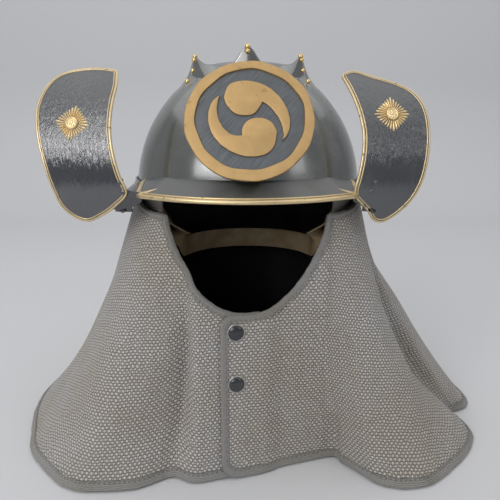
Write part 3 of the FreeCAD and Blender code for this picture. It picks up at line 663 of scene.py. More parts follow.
FINISHES = {
    "bowl": Lacquer("bowl_lacquer", (0.054, 0.057, 0.05), 0.2, coat=0.4, worn=(0.17, 0.176, 0.158),
                    ior=2.2),
    "visor": Lacquer("visor_lacquer", (0.036, 0.039, 0.034), 0.3, coat=0.15,
                     worn=(0.08, 0.082, 0.068), ior=1.9),
    "plate": Lacquer("plate_lacquer", (0.01, 0.012, 0.018), 0.12, coat=0.25, streaks=4.0, ior=2.1),
    "neck": Lacquer("neck_lacquer", (0.012, 0.013, 0.018), 0.2, coat=0.2),
    "field": CrestField("crest_field_lacquer", (0.07, 0.077, 0.083), 0.45, worn=(0.12, 0.13, 0.14),
                        streaks=0.6, ior=1.5),
    "gilt": Gold("crest_gilding", (0.51, 0.34, 0.157), 0.5, 1.3, age=0.25),
    "star": Gold("ornament_gilding", (0.86, 0.69, 0.4), 0.3, 0.75, dark=(0.3, 0.2, 0.09)),
    "rim": Gold("worn_rim_gilding", (0.66, 0.52, 0.3), 0.34, 0.75, dark=(0.12, 0.09, 0.05),
                age=0.8),
    "brass": Gold("bead_brass", (0.75, 0.54, 0.22), 0.24, 0.95, age=0.4),
    # In each weave the gap and weft colours are painted shade, darker than the cloth's own colour.
    "cape": Woven("cape_weave", (0.52, 0.497, 0.472), gap=(0.12, 0.11, 0.106),
                  weft=(0.36, 0.342, 0.325), stain=(0.25, 0.22, 0.12), across=0.0022, along=0.0027),
    "tape": Woven("grey_tape_weave", (0.46, 0.448, 0.435), gap=(0.2, 0.194, 0.188),
                  weft=(0.38, 0.37, 0.358), across=0.0007, along=0.0008),
    "thread": Woven("stitch_thread", (0.26, 0.25, 0.245), gap=(0.13, 0.127, 0.125),
                    weft=(0.13, 0.125, 0.125), across=0.0004, along=0.0004),
    "lining": Woven("navy_lining_weave", (0.016, 0.018, 0.03), gap=(0.004, 0.004, 0.007),
                    weft=(0.011, 0.012, 0.02), across=0.0012, along=0.0012, stained=0.1),
    "strap": Leather("tan_strap_leather", (0.42, 0.3, 0.165), 0.6, pale=(0.62, 0.5, 0.33)),
    "band": Leather("headband_leather", (0.045, 0.035, 0.03), 0.55, pale=(0.1, 0.075, 0.06)),
    "enamel": Lacquer("snap_enamel", (0.014, 0.016, 0.02), 0.2, coat=0.3, worn=(0.06, 0.065, 0.07),
                      ior=1.6),
    "steel": Gold("snap_ring_steel", (0.45, 0.44, 0.42), 0.3, 0.9, dark=(0.1, 0.1, 0.1)),
}


class Wardrobe:
    """Gives finished pieces their material and body, and hides the nodes they replace."""

    def __init__(self) -> None:
        """Build every finish."""
        effects = Effects()
        self.materials = {key: finish.build(effects) for key, finish in FINISHES.items()}

    def paint(self, thing: Thing, finish: str) -> None:
        """Give a piece or a CAD node its only material."""
        thing.data.materials.clear()
        thing.data.materials.append(self.materials[finish])

    def dress(self, thing: Thing, finish: str, slot: Slot, body: Body = Body.HELMET,
              replaces: Sequence[str] = (), fold: Sequence = ()) -> None:
        """Finish a piece, set it on its body or bake it in place, and hide the nodes it replaces.

        Args:
            thing: The piece.
            finish: The key of its finish.
            slot: The record's slot that the finish comes from; it is not used.
            body: The body that it rides on.
            replaces: The CAD nodes that it stands for.
            fold: For cloth that bends between the helmet and the overlap strip, two points that are
                not used;
            when given, the piece is baked in place instead of set on its body.
        """
        self.paint(thing, finish)
        if fold:
            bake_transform(thing)
        else:
            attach(thing, body.value)
        if replaces:
            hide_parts(*replaces)
        LOG.info("%s: %d faces", thing.name, len(thing.data.polygons))


class Scatter:
    """Geometry Nodes trees that repeat a small shape."""

    def __init__(self, maker: Maker) -> None:
        """Build the trees."""
        self.maker = maker
        self.heads = self.build_heads()
        self.stitches = self.build_stitches()

    @staticmethod
    def start(name: str, sizes: dict) -> tuple:
        """Start a Geometry Nodes tree with named inputs, and give its nodes and inputs."""
        tree = bpy.data.node_groups.new(name, "GeometryNodeTree")
        face = tree.interface
        face.new_socket(name="Geometry", in_out="INPUT", socket_type="NodeSocketGeometry")
        for label, default in sizes.items():
            socket = face.new_socket(name=label, in_out="INPUT", socket_type="NodeSocketFloat")
            socket.default_value = default
        face.new_socket(name="Finish", in_out="INPUT", socket_type="NodeSocketMaterial")
        face.new_socket(name="Geometry", in_out="OUTPUT", socket_type="NodeSocketGeometry")
        nodes = Nodes(tree)
        return nodes, nodes.add("NodeGroupInput").outputs

    @staticmethod
    def planted(nodes: Nodes, given: Outputs, ball: dict, length: Value,
                way: Value, spots: dict) -> Tree:
        """Put a ball, stretched and turned, on each point, and end the tree.

        Args:
            nodes: The tree's nodes.
            given: The tree's inputs.
            ball: The ball's segments, rings and radius.
            length: How far it is stretched along its axis.
            way: The direction of its axis.
            spots: The points, and the instances' scale where it varies.

        Returns:
            The finished tree.
        """
        round_ball = nodes.made("GeometryNodeMeshUVSphere", ball)
        shaped = nodes.made("GeometryNodeTransform", {"Geometry": round_ball.outputs[0],
                                                      "Scale": nodes.combine(1.0, 1.0, length)})
        turn = nodes.made("FunctionNodeAlignRotationToVector", {"Vector": way}, axis="Z")
        placed = nodes.made("GeometryNodeInstanceOnPoints", {
            "Instance": shaped.outputs[0], "Rotation": turn.outputs[0], **spots})
        real = nodes.made("GeometryNodeRealizeInstances", {0: placed.outputs[0]})
        smooth = nodes.made("GeometryNodeSetShadeSmooth", {"Geometry": real.outputs[0]})
        finish = nodes.made("GeometryNodeSetMaterial", {"Geometry": smooth.outputs[0],
                                                        "Material": given["Finish"]})
        nodes.made("NodeGroupOutput", {0: finish.outputs[0]})
        return nodes.tree

    def build_heads(self) -> Tree:
        """A domed head on each point, its axis along the point's normal."""
        nodes, given = self.start("domed_heads", {"Radius": 0.002, "Height": 0.002, "Uneven": 0.08})
        way = nodes.made("GeometryNodeInputNamedAttribute", {0: "out"}, data_type="FLOAT_VECTOR")
        size = nodes.made("FunctionNodeRandomValue", {
            2: nodes.math("SUBTRACT", 1.0, given["Uneven"]),
            3: nodes.math("ADD", 1.0, given["Uneven"]), "Seed": 7}, data_type="FLOAT")
        return self.planted(
            nodes, given, {"Segments": 20, "Rings": 12, "Radius": given["Radius"]},
            nodes.math("DIVIDE", given["Height"], given["Radius"]), way.outputs[0],
            {"Points": given["Geometry"], "Scale": size.outputs[1]})

    def build_stitches(self) -> Tree:
        """A short sunk thread at even steps along a line of edges."""
        nodes, given = self.start(
            "running_stitches", {"Step": 0.005, "Length": 0.0028, "Thickness": 0.0005})
        line = nodes.made("GeometryNodeMeshToCurve", {0: given["Geometry"]})
        points = nodes.made("GeometryNodeCurveToPoints", {
            "Curve": line.outputs[0], "Length": given["Step"]}, mode="LENGTH")
        share = nodes.math("DIVIDE", given["Length"], given["Thickness"])
        return self.planted(
            nodes, given, {"Segments": 6, "Rings": 5, "Radius": given["Thickness"]},
            nodes.math("MULTIPLY", share, 0.5), points.outputs["Tangent"],
            {"Points": points.outputs[0]})

    def grow(self, name: str, tree: Tree, points: Grid, edges: list, outs: Grid,
             finish: Material, sizes: dict) -> Thing:
        """Apply a tree to points or a line, and give the plain mesh.

        Args:
            name: The piece's name.
            tree: The tree.
            points: Points about the bowl's axis.
            edges: Pairs of point numbers, or nothing.
            outs: One outward direction for each point.
            finish: The material that the tree sets.
            sizes: Values for the tree's named inputs.

        Returns:
            The new object.
        """
        seed = bpy.data.meshes.new(name + "_places")
        seed.from_pydata(self.maker.place.shift(points).tolist(), edges, [])
        layer = seed.attributes.new("out", "FLOAT_VECTOR", "POINT")
        layer.data.foreach_set("vector", np.asarray(outs, np.float32).ravel())
        holder = linked(name + "_places", seed)
        modifier = holder.modifiers.new("grow", "NODES")
        modifier.node_group = tree
        sockets = {item.name: item.identifier for item in tree.interface.items_tree
                   if item.in_out == "INPUT"}
        for label, value in {**sizes, "Finish": finish}.items():
            modifier[sockets[label]] = value
        return baked(name, holder)


def outlined(name: str, outline: Grid, height: float, bevel: float) -> Thing:
    """A flat plate cut to an outline, with a rounded upper edge, from z = 0 up to its height.

    Args:
        name: The piece's name.
        outline: Pairs round its edge.
        height: How thick it is.
        bevel: The radius of its edge.

    Returns:
        The new object.
    """
    curve = bpy.data.curves.new(name, "CURVE")
    curve.dimensions, curve.fill_mode = "2D", "BOTH"
    curve.extrude, curve.bevel_depth, curve.bevel_resolution = height / 2 - bevel, bevel, 3
    curve.offset = -bevel
    spline = curve.splines.new("POLY")
    spline.points.add(len(outline) - 1)
    for point, (x, y) in zip(spline.points, outline):
        point.co = (x, y, 0.0, 1.0)
    spline.use_cyclic_u = True
    thing = baked(name, linked(name + "_outline", curve))
    data = thing.data
    for vertex in data.vertices:
        vertex.co.z += height / 2
    welded(thing, 1e-5)
    data.shade_smooth()
    data.set_sharp_from_angle(angle=SHARP_PLATE)
    return thing


@dataclass
class Bowl:
    """The lacquered bowl, drawn up into a ring of tent-like horns, with brass beads."""

    maker: Maker
    wardrobe: Wardrobe
    scatter: Scatter
    crown: float = 0.126
    over_equator: float = 0.004
    wall: float = 0.003
    horns: int = 6
    ring: float = 0.057
    front_rise: float = 0.0229
    rise: float = 0.0177
    inner_reach: float = 0.007
    outer_reach: float = 0.0019
    inner_width: float = 0.0118
    outer_width: float = 0.0062
    ridge_rise: float = 0.0018
    ridge_width: float = 0.0034
    ridge_reach: float = 0.016
    bead: float = 0.0024
    bead_steps: tuple = (0.0, 0.001, 0.0026, 0.0085)

    @property
    def radius(self) -> float:
        """The bowl's outer radius."""
        return self.maker.place.radius

    @property
    def equator(self) -> float:
        """Height of the dome's widest ring."""
        return self.maker.place.rim - self.over_equator

    def lift(self, radius: Grid, azimuth: Grid) -> Grid:
        """How far the horns draw the dome up at a place: steep outside, easy inside."""
        total = np.zeros(np.broadcast(radius, azimuth).shape)
        for k in range(self.horns):
            turn = azimuth - math.tau * k / self.horns
            side, out = np.abs(radius * np.sin(turn)), radius * np.cos(turn) - self.ring
            rise = self.rise if k else self.front_rise
            along = np.where(out < 0, 1 / (1 + (np.abs(out) / self.inner_reach) ** 1.6),
                             1 / (1 + (np.abs(out) / self.outer_reach) ** 2.4))
            width = self.outer_width + (self.inner_width - self.outer_width) * smooth_step(
                -out, -0.003, 0.0)
            tent = rise * along / (1 + (side / width) ** 2.5) * smooth_step(out, -0.052, -0.022)
            ridge = np.exp(-(side / self.ridge_width) ** 2) - 0.35 * np.exp(
                -((side - 2.2 * self.ridge_width) / self.ridge_width) ** 2)
            ends = smooth_step(out, -0.002, 0.003) * smooth_step(self.ridge_reach - out, 0.0, 0.009)
            total = total + tent + self.ridge_rise * ridge * ends
        return total * smooth_step(self.radius * 0.93 - radius, 0.0, 0.02)

    def surface(self, radius: Grid, azimuth: Grid) -> Grid:
        """Points of the outer surface."""
        flat = np.clip(1 - (radius / self.radius) ** 2, 0, None)
        z = self.equator + self.crown * np.sqrt(flat) + self.lift(radius, azimuth)
        return around(radius, azimuth, z)

    def build(self) -> None:
        """Make the bowl and its beads."""
        low = math.acos(self.over_equator / self.crown)
        zones, counts = (1e-5, 0.038, 0.054, 0.0645, 0.08), (18, 30, 43, 24)
        rings = np.concatenate([np.linspace(start, end, count)[:-1] for start, end, count
                                in zip(zones, zones[1:], counts)])
        falls = np.concatenate([np.arcsin(rings / self.radius),
                                np.linspace(math.asin(zones[-1] / self.radius), low, 40)])
        turns = np.linspace(0, math.tau, 420, endpoint=False)
        fall, azimuth = np.meshgrid(falls, turns, indexing="ij")
        outer = self.surface(self.radius * np.sin(fall), azimuth)
        fall, azimuth = np.meshgrid(np.linspace(1e-4, low, 34), turns, indexing="ij")
        inner_r = (self.radius - self.wall) * np.sin(fall)
        inner_z = self.equator + (self.crown - self.wall) * np.cos(fall)
        inner_z[-1] = outer[-1, :, 2]
        inner = around(inner_r, azimuth, inner_z)
        shell = capped(self.maker, "lacquered_bowl", outer, inner)
        self.wardrobe.dress(shell, "bowl", Slot.BLACK_LACQUER, replaces=["bowl_shell"])
        places, outs = [], []
        for k in range(self.horns):
            turn = np.array(math.tau * k / self.horns)
            for step in self.bead_steps:
                spot = self.surface(np.array(self.ring + step), turn)
                slope = (self.surface(np.array(self.ring + step + 0.0008), turn)
                         - self.surface(np.array(self.ring + step - 0.0008), turn))
                out = np.array([-slope[2] * math.sin(turn), slope[2] * math.cos(turn),
                                math.hypot(slope[0], slope[1])])
                places.append(spot)
                outs.append(unit(out))
        beads = self.scatter.grow("horn_beads", self.scatter.heads, np.array(places), [],
                                  np.array(outs), self.wardrobe.materials["brass"],
                                  {"Radius": self.bead, "Height": self.bead * 0.9})
        self.wardrobe.dress(beads, "brass", Slot.BRASS, replaces=["horn_studs"])


def capped(maker: Maker, name: str, outer: Grid, inner: Grid) -> Thing:
    """A dome's closed wall: rings of points from the crown to the rim, outside and inside.

    Args:
        maker: Makes the mesh.
        name: The piece's name.
        outer: Rings of the outer surface.
        inner: Rings of the inner surface, with as many points in each.

    Returns:
        The new object.
    """
    cols = outer.shape[1]
    size, total = outer.shape[0] * cols, (outer.shape[0] + inner.shape[0]) * cols
    faces = []
    for first, rows, way in ((0, outer.shape[0], 1), (size, inner.shape[0], -1)):
        index = first + np.arange(rows * cols).reshape(rows, cols)
        faces += [face[::way] for face in quads(index, False, True)]
    for j in range(cols):
        k = (j + 1) % cols
        faces += [[size - cols + j, size - cols + k, total - cols + k, total - cols + j],
                  [total, k, j], [total + 1, size + j, size + k]]
    poles = np.array([outer[0].mean(axis=0), inner[0].mean(axis=0)])
    points = np.concatenate([outer.reshape(-1, 3), inner.reshape(-1, 3), poles])
    return maker.mesh(name, points, faces)


@dataclass
class Visor:
    """The flared visor plate under the crest, with its gilt rim and turned-up corners."""

    maker: Maker
    wardrobe: Wardrobe
    crease_rise: float = 0.016
    reach: float = 0.021
    drop: float = 0.013
    side_drop: float = 0.005
    half_width: float = 0.0985
    corner: float = 0.0036
    thickness: float = 0.0022
    rim_radius: float = 0.0019
    spur_length: float = 0.019

    def outer_reach(self, azimuth: Grid) -> Grid:
        """Radius of the plate's edge at an azimuth: round in front, straight back at the sides."""
        edge = self.maker.place.radius + self.reach
        side = self.half_width / np.maximum(np.abs(np.sin(azimuth)), 1e-3)
        return edge - self.corner * np.log1p(np.exp(np.clip((edge - side) / self.corner, -50, 50)))

    def point(self, azimuth: Grid, radius: Grid) -> Grid:
        """A point of the upper face, which flows into the bowl a little lower at the sides."""
        place = self.maker.place
        fall = (radius - place.radius) * self.drop / self.reach
        sides = self.side_drop * smooth_step(np.abs(azimuth), math.radians(38), math.radians(61))
        z = place.rim + self.crease_rise - sides - fall
        return around(radius, azimuth, z)

    def build(self) -> None:
        """Make the plate, its rim and the spur at each corner."""
        place = self.maker.place
        full = math.asin(self.half_width / place.radius) - 0.02
        near = full - np.linspace(0, 0.4, 44)
        azimuths = np.concatenate([-near, np.linspace(-near[-1], near[-1], 110)[1:-1], near[::-1]])
        azimuth, share = np.meshgrid(azimuths, np.linspace(0, 1, 24))
        start = place.radius - 0.002
        radius = start + (np.maximum(self.outer_reach(azimuth), start + 0.002) - start) * share
        top = self.point(azimuth, radius)
        under = top - np.array([0, 0, self.thickness])
        plate = self.maker.shell("visor_sheet", top, under)
        self.wardrobe.dress(plate, "visor", Slot.BLACK_LACQUER, replaces=["visor_plate"])
        front = self.point(azimuths, self.outer_reach(azimuths))
        path = relaxed(respaced(front, RIM_SPACING), 6, False)
        tangent = unit(np.gradient(path, axis=0))
        turn = np.arctan2(path[:, 0], -path[:, 1])
        outward = np.stack([self.drop * np.sin(turn), -self.drop * np.cos(turn),
                            np.full(len(path), self.reach)], axis=1)
        outward = unit(outward - (outward * tangent).sum(axis=1, keepdims=True) * tangent)
        inward = unit(np.cross(outward, tangent))
        inward *= np.sign(inward[len(path) // 2, 1])
        beads = bead_profile(self.rim_radius, self.thickness)
        rim = self.maker.sweep("visor_gilt_rim", path, inward, outward, lambda s: beads, False)
        self.wardrobe.dress(rim, "rim", Slot.BRASS, replaces=["visor_rim"])
        for label, side in (("left", -1), ("right", 1)):
            self.build_spur(label, side)

    def build_spur(self, label: str, side: int) -> None:
        """A pointed raised tongue that runs in from a corner of the rim.

        Args:
            label: Which corner, for the piece's name.
            side: -1 for the left corner and 1 for the right one.
        """
        share = np.linspace(0, 1, 40)
        edge = self.maker.place.radius + self.reach
        azimuth = side * (math.radians(46.0) - share * self.spur_length / edge)
        path = self.point(azimuth, edge - self.reach * (0.12 + 0.34 * share ** 1.4))
        tangent = unit(np.gradient(path, axis=0))
        outward = np.tile(unit(np.array([0.0, -self.drop, self.reach])), (len(path), 1))
        inward = unit(np.cross(outward, tangent))
        length = arc_length(path)[-1]
        turn = np.linspace(0, math.pi, 9)

        def tongue(s: float) -> Grid:
            size = max(1 - s / length, 0.02)
            width, rise = 0.0029 * size ** 1.2, 0.0012 * size ** 0.7
            arch = np.stack([width * np.cos(turn), rise * np.sin(turn)], axis=1)
            return np.concatenate([arch, [[-width, -0.0006], [width, -0.0006]]])

        spur = self.maker.sweep("visor_corner_spur_" + label, path, inward, outward, tongue, False)
        self.wardrobe.dress(spur, "rim", Slot.BRASS)


def bead_profile(radius: float, thickness: float) -> Grid:
    """A rolled edge: a round bead, a groove, and a thin second bead on the front face.

    Args:
        radius: The big bead's radius.
        thickness: The sheet's thickness.

    Returns:
        Pairs (inward, outward) round the profile.
    """
    big = np.radians(np.linspace(-50, -310, 15))
    bead = np.stack([radius * np.cos(big), -thickness / 2 + radius * np.sin(big)], axis=1)
    small = np.radians(np.linspace(200, -10, 7))
    line = np.stack([radius * 1.55 + radius * 0.42 * np.cos(small),
                     radius * 0.08 + radius * 0.36 * np.sin(small)], axis=1)
    tail = np.array([[radius * 2.0, -radius * 0.3], [radius * 0.8, -radius * 0.4]])
    return np.concatenate([bead, line, tail])


@dataclass
class Crest:
    """The disc crest: a dark field in a hand-cut gilt ring, with two commas."""

    maker: Maker
    wardrobe: Wardrobe
    radius: float = 0.053
    lean: float = 27.0
    standoff: float = 0.105
    centre_rise: float = 0.0655
    thickness: float = 0.002
    ring_width: float = 0.0083
    ring_uneven: tuple = (-0.0006, -0.001)
    relief: float = 0.0016
    aside: float = 0.0014
    comma_shares: tuple = (
        (((0.207, 0.297), (0.151, 0.196), (0.074, 0.099), (-0.08, 0.068), (-0.212, 0.099),
          (-0.325, 0.208), (-0.39, 0.353), (-0.38, 0.44), (-0.306, 0.595), (-0.126, 0.656),
          (0.075, 0.643), (0.253, 0.574), (0.43, 0.427), (0.56, 0.232), (0.619, 0.039),
          (0.616, -0.151), (0.563, -0.281), (0.493, -0.351)),
         ((0.524, -0.281), (0.515, -0.175), (0.469, -0.009), (0.382, 0.135), (0.284, 0.244))),
        (((-0.108, -0.265), (-0.11, -0.175), (-0.078, -0.08), (0.008, -0.001), (0.129, 0.027),
          (0.249, 0.011), (0.358, -0.068), (0.412, -0.175), (0.404, -0.34), (0.354, -0.48),
          (0.245, -0.573), (0.1, -0.607), (-0.079, -0.6), (-0.273, -0.526), (-0.448, -0.398),
          (-0.571, -0.222), (-0.629, -0.032), (-0.625, 0.135), (-0.568, 0.305), (-0.459, 0.414)),
         ((-0.48, 0.329), (-0.497, 0.135), (-0.464, -0.009), (-0.386, -0.151), (-0.276, -0.246),
          (-0.188, -0.269))))

    def __post_init__(self) -> None:
        """Work out the disc's own axes."""
        lean = math.radians(self.lean)
        self.up = np.array([0, math.sin(lean), math.cos(lean)])
        self.out = np.array([0, -math.cos(lean), math.sin(lean)])
        height = self.maker.place.rim + self.centre_rise
        self.centre = np.array([self.aside, -self.standoff, height])

    def seat(self, points: Grid) -> Grid:
        """Move points from the disc's own axes to its place about the bowl's axis."""
        across = np.array([1.0, 0.0, 0.0])
        return (self.centre + points[..., :1] * across + points[..., 1:2] * self.up
                + points[..., 2:3] * self.out)

    def lathe(self, name: str, profile: Callable[[float], Grid], steps: int) -> Thing:
        """Turn a closed profile (radius, height) about the disc's centre."""
        rings = []
        for angle in np.linspace(0, math.tau, steps, endpoint=False):
            pairs = profile(angle)
            rings.append(np.stack([pairs[:, 0] * math.sin(angle), pairs[:, 0] * math.cos(angle),
                                   pairs[:, 1]], axis=1))
        return self.maker.hoop(name, self.seat(np.array(rings)))

    def comma_outline(self, which: int) -> Grid:
        """The outline of one comma: round its head and outer edge to the tip, and back inside."""
        outer, inner = (np.array(rows) * self.radius for rows in self.comma_shares[which])
        ahead = smooth_line(outer, 150)
        back = smooth_line(np.concatenate([outer[-1:], inner, outer[:1]]), 60)
        outline = np.concatenate([ahead, back[1:-1]])
        step = np.arange(len(outline))
        wobble = 0.00012 * np.sin(step * 0.7) * np.sin(step * 0.11)
        return outline + wobble[:, None] * np.array([1.0, 0.6])

    def build(self) -> None:
        """Make the field, the ring and the commas."""
        edge, field_radius = self.radius, self.radius - self.ring_width
        half = 0.0006

        def dish(angle: float) -> Grid:
            return np.array([(0.0, 0.0), (field_radius * 0.7, 0.0), (edge - half, 0.0),
                             (edge - half * 0.3, -half * 0.4), (edge, -half * 1.4),
                             (edge - half * 0.6, -self.thickness), (0.0, -self.thickness)])

        def band(angle: float) -> Grid:
            rough = 0.00022 * math.sin(7 * angle + 1) + 0.00018 * math.sin(13 * angle)
            cut = 0.00042 * math.sin(5 * angle + 2) + 0.0003 * math.sin(11 * angle + 0.5)
            wide = self.ring_uneven[0] * math.sin(angle) + self.ring_uneven[1] * math.cos(angle)
            low, high = field_radius - wide + cut, edge + 0.0002 + rough
            top, soft = self.relief, 0.0004
            return np.array([(low, -0.0001), (low + 0.0001, top - soft), (low + soft, top),
                             ((low + high) / 2, top + 0.00015), (high - soft, top),
                             (high, top - soft), (high, -0.0006), (high - 0.001, -0.0006)])

        field_disc = self.lathe("crest_field", dish, 160)
        self.wardrobe.dress(field_disc, "field", Slot.CHARCOAL, Body.CREST, ["crest_disc"])
        ring = self.lathe("crest_gilt_ring", band, 240)
        self.wardrobe.dress(ring, "gilt", Slot.GILT, Body.CREST, ["crest_ring"])
        for which, label in enumerate(("upper", "lower")):
            comma = outlined("comma_" + label, self.comma_outline(which), self.relief, 0.0004)
            points = np.array([v.co for v in comma.data.vertices])
            moved = self.maker.place.shift(self.seat(points))
            comma.data.vertices.foreach_set("co", moved.astype(np.float32).ravel())
            self.wardrobe.dress(comma, "gilt", Slot.GILT, Body.CREST, ["crest_comma_" + label])


def smooth_line(points: Grid, count: int) -> Grid:
    """Points on a smooth curve through a few points."""
    ends = np.vstack([2 * points[0] - points[1], points, 2 * points[-1] - points[-2]])
    knots = arc_length(points)
    at = np.linspace(0, knots[-1], count)
    i = np.clip(np.searchsorted(knots, at, side="right") - 1, 0, len(points) - 2)
    gap = (knots[i + 1] - knots[i])[:, None]
    f = ((at - knots[i]) / gap[:, 0])[:, None]
    before, here, there, after = ends[i], ends[i + 1], ends[i + 2], ends[i + 3]
    last = np.linalg.norm(here - before, axis=1)[:, None]
    further = np.linalg.norm(after - there, axis=1)[:, None]
    first_slope = ((here - before) / last * gap + (there - here) / gap * last) / (last + gap)
    end_slope = ((there - here) / gap * further + (after - there) / further * gap) / (further + gap)
    return hermite(f, gap, (here, there), (first_slope, end_slope))


@dataclass(frozen=True)
class PlateShape:
    """The size, place and outline of one side plate."""

    name: str
    side: int
    inner: float
    width: float
    height: float
    base: float
    stud_out: float
    stud_rise: float
    stud_turn: float
    outline_shares: tuple


LEFT_PLATE = PlateShape("left", -1, 0.105, 0.084, 0.137, -0.0255, 0.0485, 0.063, 8.0, (
    (0.158, 0.985), (0.356, 1.0), (0.547, 0.996), (0.68, 0.982), (0.79, 0.955), (0.88, 0.905),
    (0.945, 0.83), (0.98, 0.728), (0.962, 0.602), (0.896, 0.416), (0.812, 0.235), (0.72, 0.104),
    (0.6, 0.042), (0.484, 0.02), (0.328, 0.056), (0.146, 0.13), (0.015, 0.215), (0.078, 0.316),
    (0.143, 0.463), (0.175, 0.622), (0.162, 0.788), (0.14, 0.897)))
RIGHT_PLATE = PlateShape("right", 1, 0.083, 0.08, 0.139, -0.029, 0.0433, 0.0706, 0.0, (
    (0.015, 0.965), (0.115, 0.988), (0.371, 0.953), (0.638, 0.907), (0.76, 0.876), (0.845, 0.835),
    (0.905, 0.785), (0.94, 0.725), (0.961, 0.601), (0.941, 0.435), (0.888, 0.295), (0.81, 0.2),
    (0.71, 0.13), (0.59, 0.072), (0.47, 0.04), (0.39, 0.052), (0.315, 0.115), (0.14, 0.236),
    (0.175, 0.336), (0.212, 0.458), (0.223, 0.602), (0.176, 0.741), (0.1, 0.864)))


@dataclass
class SidePlate:
    """One turned-back side plate: a lacquered sheet, its rolled gilt rim and ornament."""

    maker: Maker
    wardrobe: Wardrobe
    shape: PlateShape
    sweep: float = 8.0
    tab_width: float = 0.016
    thickness: float = 0.0022
    rim_radius: float = 0.0013
    bottom_y: float = -0.082
    middle_y: float = -0.088
    top_y: float = -0.046
    bottom_drop: float = 0.029
    middle_rise: float = 0.023
    top_rise: float = 0.111

    def __post_init__(self) -> None:
        """Work out the level cylinder that the sheet follows."""
        rim = self.maker.place.rim
        spots = [(self.bottom_y, rim - self.bottom_drop), (self.middle_y, rim + self.middle_rise),
                 (self.top_y, rim + self.top_rise)]
        (ay, az), (by, bz), (cy, cz) = spots
        system = np.array([[2 * (by - ay), 2 * (bz - az)], [2 * (cy - ay), 2 * (cz - az)]])
        sums = np.array([by ** 2 + bz ** 2 - ay ** 2 - az ** 2,
                         cy ** 2 + cz ** 2 - ay ** 2 - az ** 2])
        self.centre_y, self.centre_z = np.linalg.solve(system, sums)
        self.radius = math.hypot(ay - self.centre_y, az - self.centre_z)
        self.level = math.radians(self.sweep)

    def front(self, x: Grid, z: Grid, depth: float = 0.0) -> Grid:
        """Points of the sheet at a depth behind its front face."""
        side = self.shape.side
        pivot = side * (self.shape.inner + self.tab_width)
        across = (x - pivot) * math.tan(self.level) * side
        rise = np.clip(self.radius ** 2 - (z - self.centre_z) ** 2, 0, None)
        y = self.centre_y + across - np.sqrt(rise) / math.cos(self.level)
        face = np.stack([x + 0 * z, y, z + 0 * x], axis=-1)
        return face - depth * self.normal(z)

    def normal(self, z: Grid) -> Grid:
        """Directions out of the front face at a height."""
        rise = (z - self.centre_z) / self.radius
        flat = np.sqrt(1 - rise ** 2)
        turn = self.shape.side * math.sin(self.level)
        return np.stack([turn * flat, -math.cos(self.level) * flat, rise], axis=-1)

    def outline(self) -> Grid:
        """The plate's edge, seen from the front, with its corners a little rounded."""
        shape, rim = self.shape, self.maker.place.rim
        spots = np.array([(shape.side * (shape.inner + out * shape.width),
                           rim + shape.base + up * shape.height)
                          for out, up in shape.outline_shares])
        loop = smooth_line(np.concatenate([spots, spots[:1]]), 700)
        return relaxed(respaced(loop, RIM_SPACING)[:-1], 6, True)

    def build(self) -> None:
        """Make the sheet, the rim and the ornament, and log where the rivets lie."""
        label, loop = self.shape.name, self.outline()
        z_share = (1 - np.cos(np.linspace(0, math.pi, 90))) / 2
        heights = loop[:, 1].min() + 0.0002 + z_share * (np.ptp(loop[:, 1]) - 0.0004)
        rows = [crossings(loop, z) for z in heights]
        across = (1 - np.cos(np.linspace(0, math.pi, 40))) / 2
        x = np.array([low + (high - low) * across for low, high in rows])
        z = np.broadcast_to(heights[:, None], x.shape)
        sheet = self.maker.shell("side_plate_sheet_" + label, self.front(x, z),
                                 self.front(x, z, self.thickness))
        self.wardrobe.dress(sheet, "plate", Slot.BLACK_LACQUER, replaces=["side_plate_" + label])
        path = self.front(loop[:, 0], loop[:, 1])
        outward = self.normal(loop[:, 1])
        tangent = unit(np.roll(path, -1, 0) - np.roll(path, 1, 0))
        inward = unit(np.cross(outward, tangent))
        middle = path.mean(axis=0)
        if ((middle - path) * inward).sum() < 0:
            inward = -inward
        beads = bead_profile(self.rim_radius, self.thickness)
        rim = self.maker.sweep("side_plate_bead_" + label, path, inward, outward,
                               lambda s: beads, True)
        self.wardrobe.dress(rim, "rim", Slot.BRASS, replaces=["side_plate_rim_" + label])
        self.build_star()
        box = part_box("side_plate_rivets_" + label)
        LOG.info("rivets of the %s plate lie between %s and %s", label, *box)

    def build_star(self) -> None:
        """Make the rayed lozenge and its centre."""
        shape, rim = self.shape, self.maker.place.rim
        x, z = shape.side * (shape.inner + shape.stud_out), rim + shape.stud_rise
        seat, out = self.front(np.array(x), np.array(z)), self.normal(np.array(z))
        across = unit(np.cross(np.array([0.0, 0.0, 1.0]), -out))
        up = np.cross(-out, across) * -1
        up = up * np.sign(up[2])
        turn = math.radians(shape.stud_turn)
        star = Star(self.maker, self, seat, math.cos(turn) * across + math.sin(turn) * up,
                    math.cos(turn) * up - math.sin(turn) * across)
        label = shape.name
        self.wardrobe.dress(star.rays("rayed_ornament_" + label), "star", Slot.GILT,
                            replaces=["rayed_stud_" + label])
        self.wardrobe.dress(star.flower("rayed_ornament_centre_" + label), "star", Slot.GILT,
                            replaces=["rayed_stud_boss_" + label])


def crossings(loop: Grid, z: float) -> tuple:
    """Lowest and highest x of a closed outline at a height."""
    ahead = np.roll(loop, -1, 0)
    low, high = np.minimum(loop[:, 1], ahead[:, 1]), np.maximum(loop[:, 1], ahead[:, 1])
    hit = (low <= z) & (high > z)
    share = (z - loop[hit, 1]) / (ahead[hit, 1] - loop[hit, 1])
    x = loop[hit, 0] + share * (ahead[hit, 0] - loop[hit, 0])
    return float(x.min()), float(x.max())


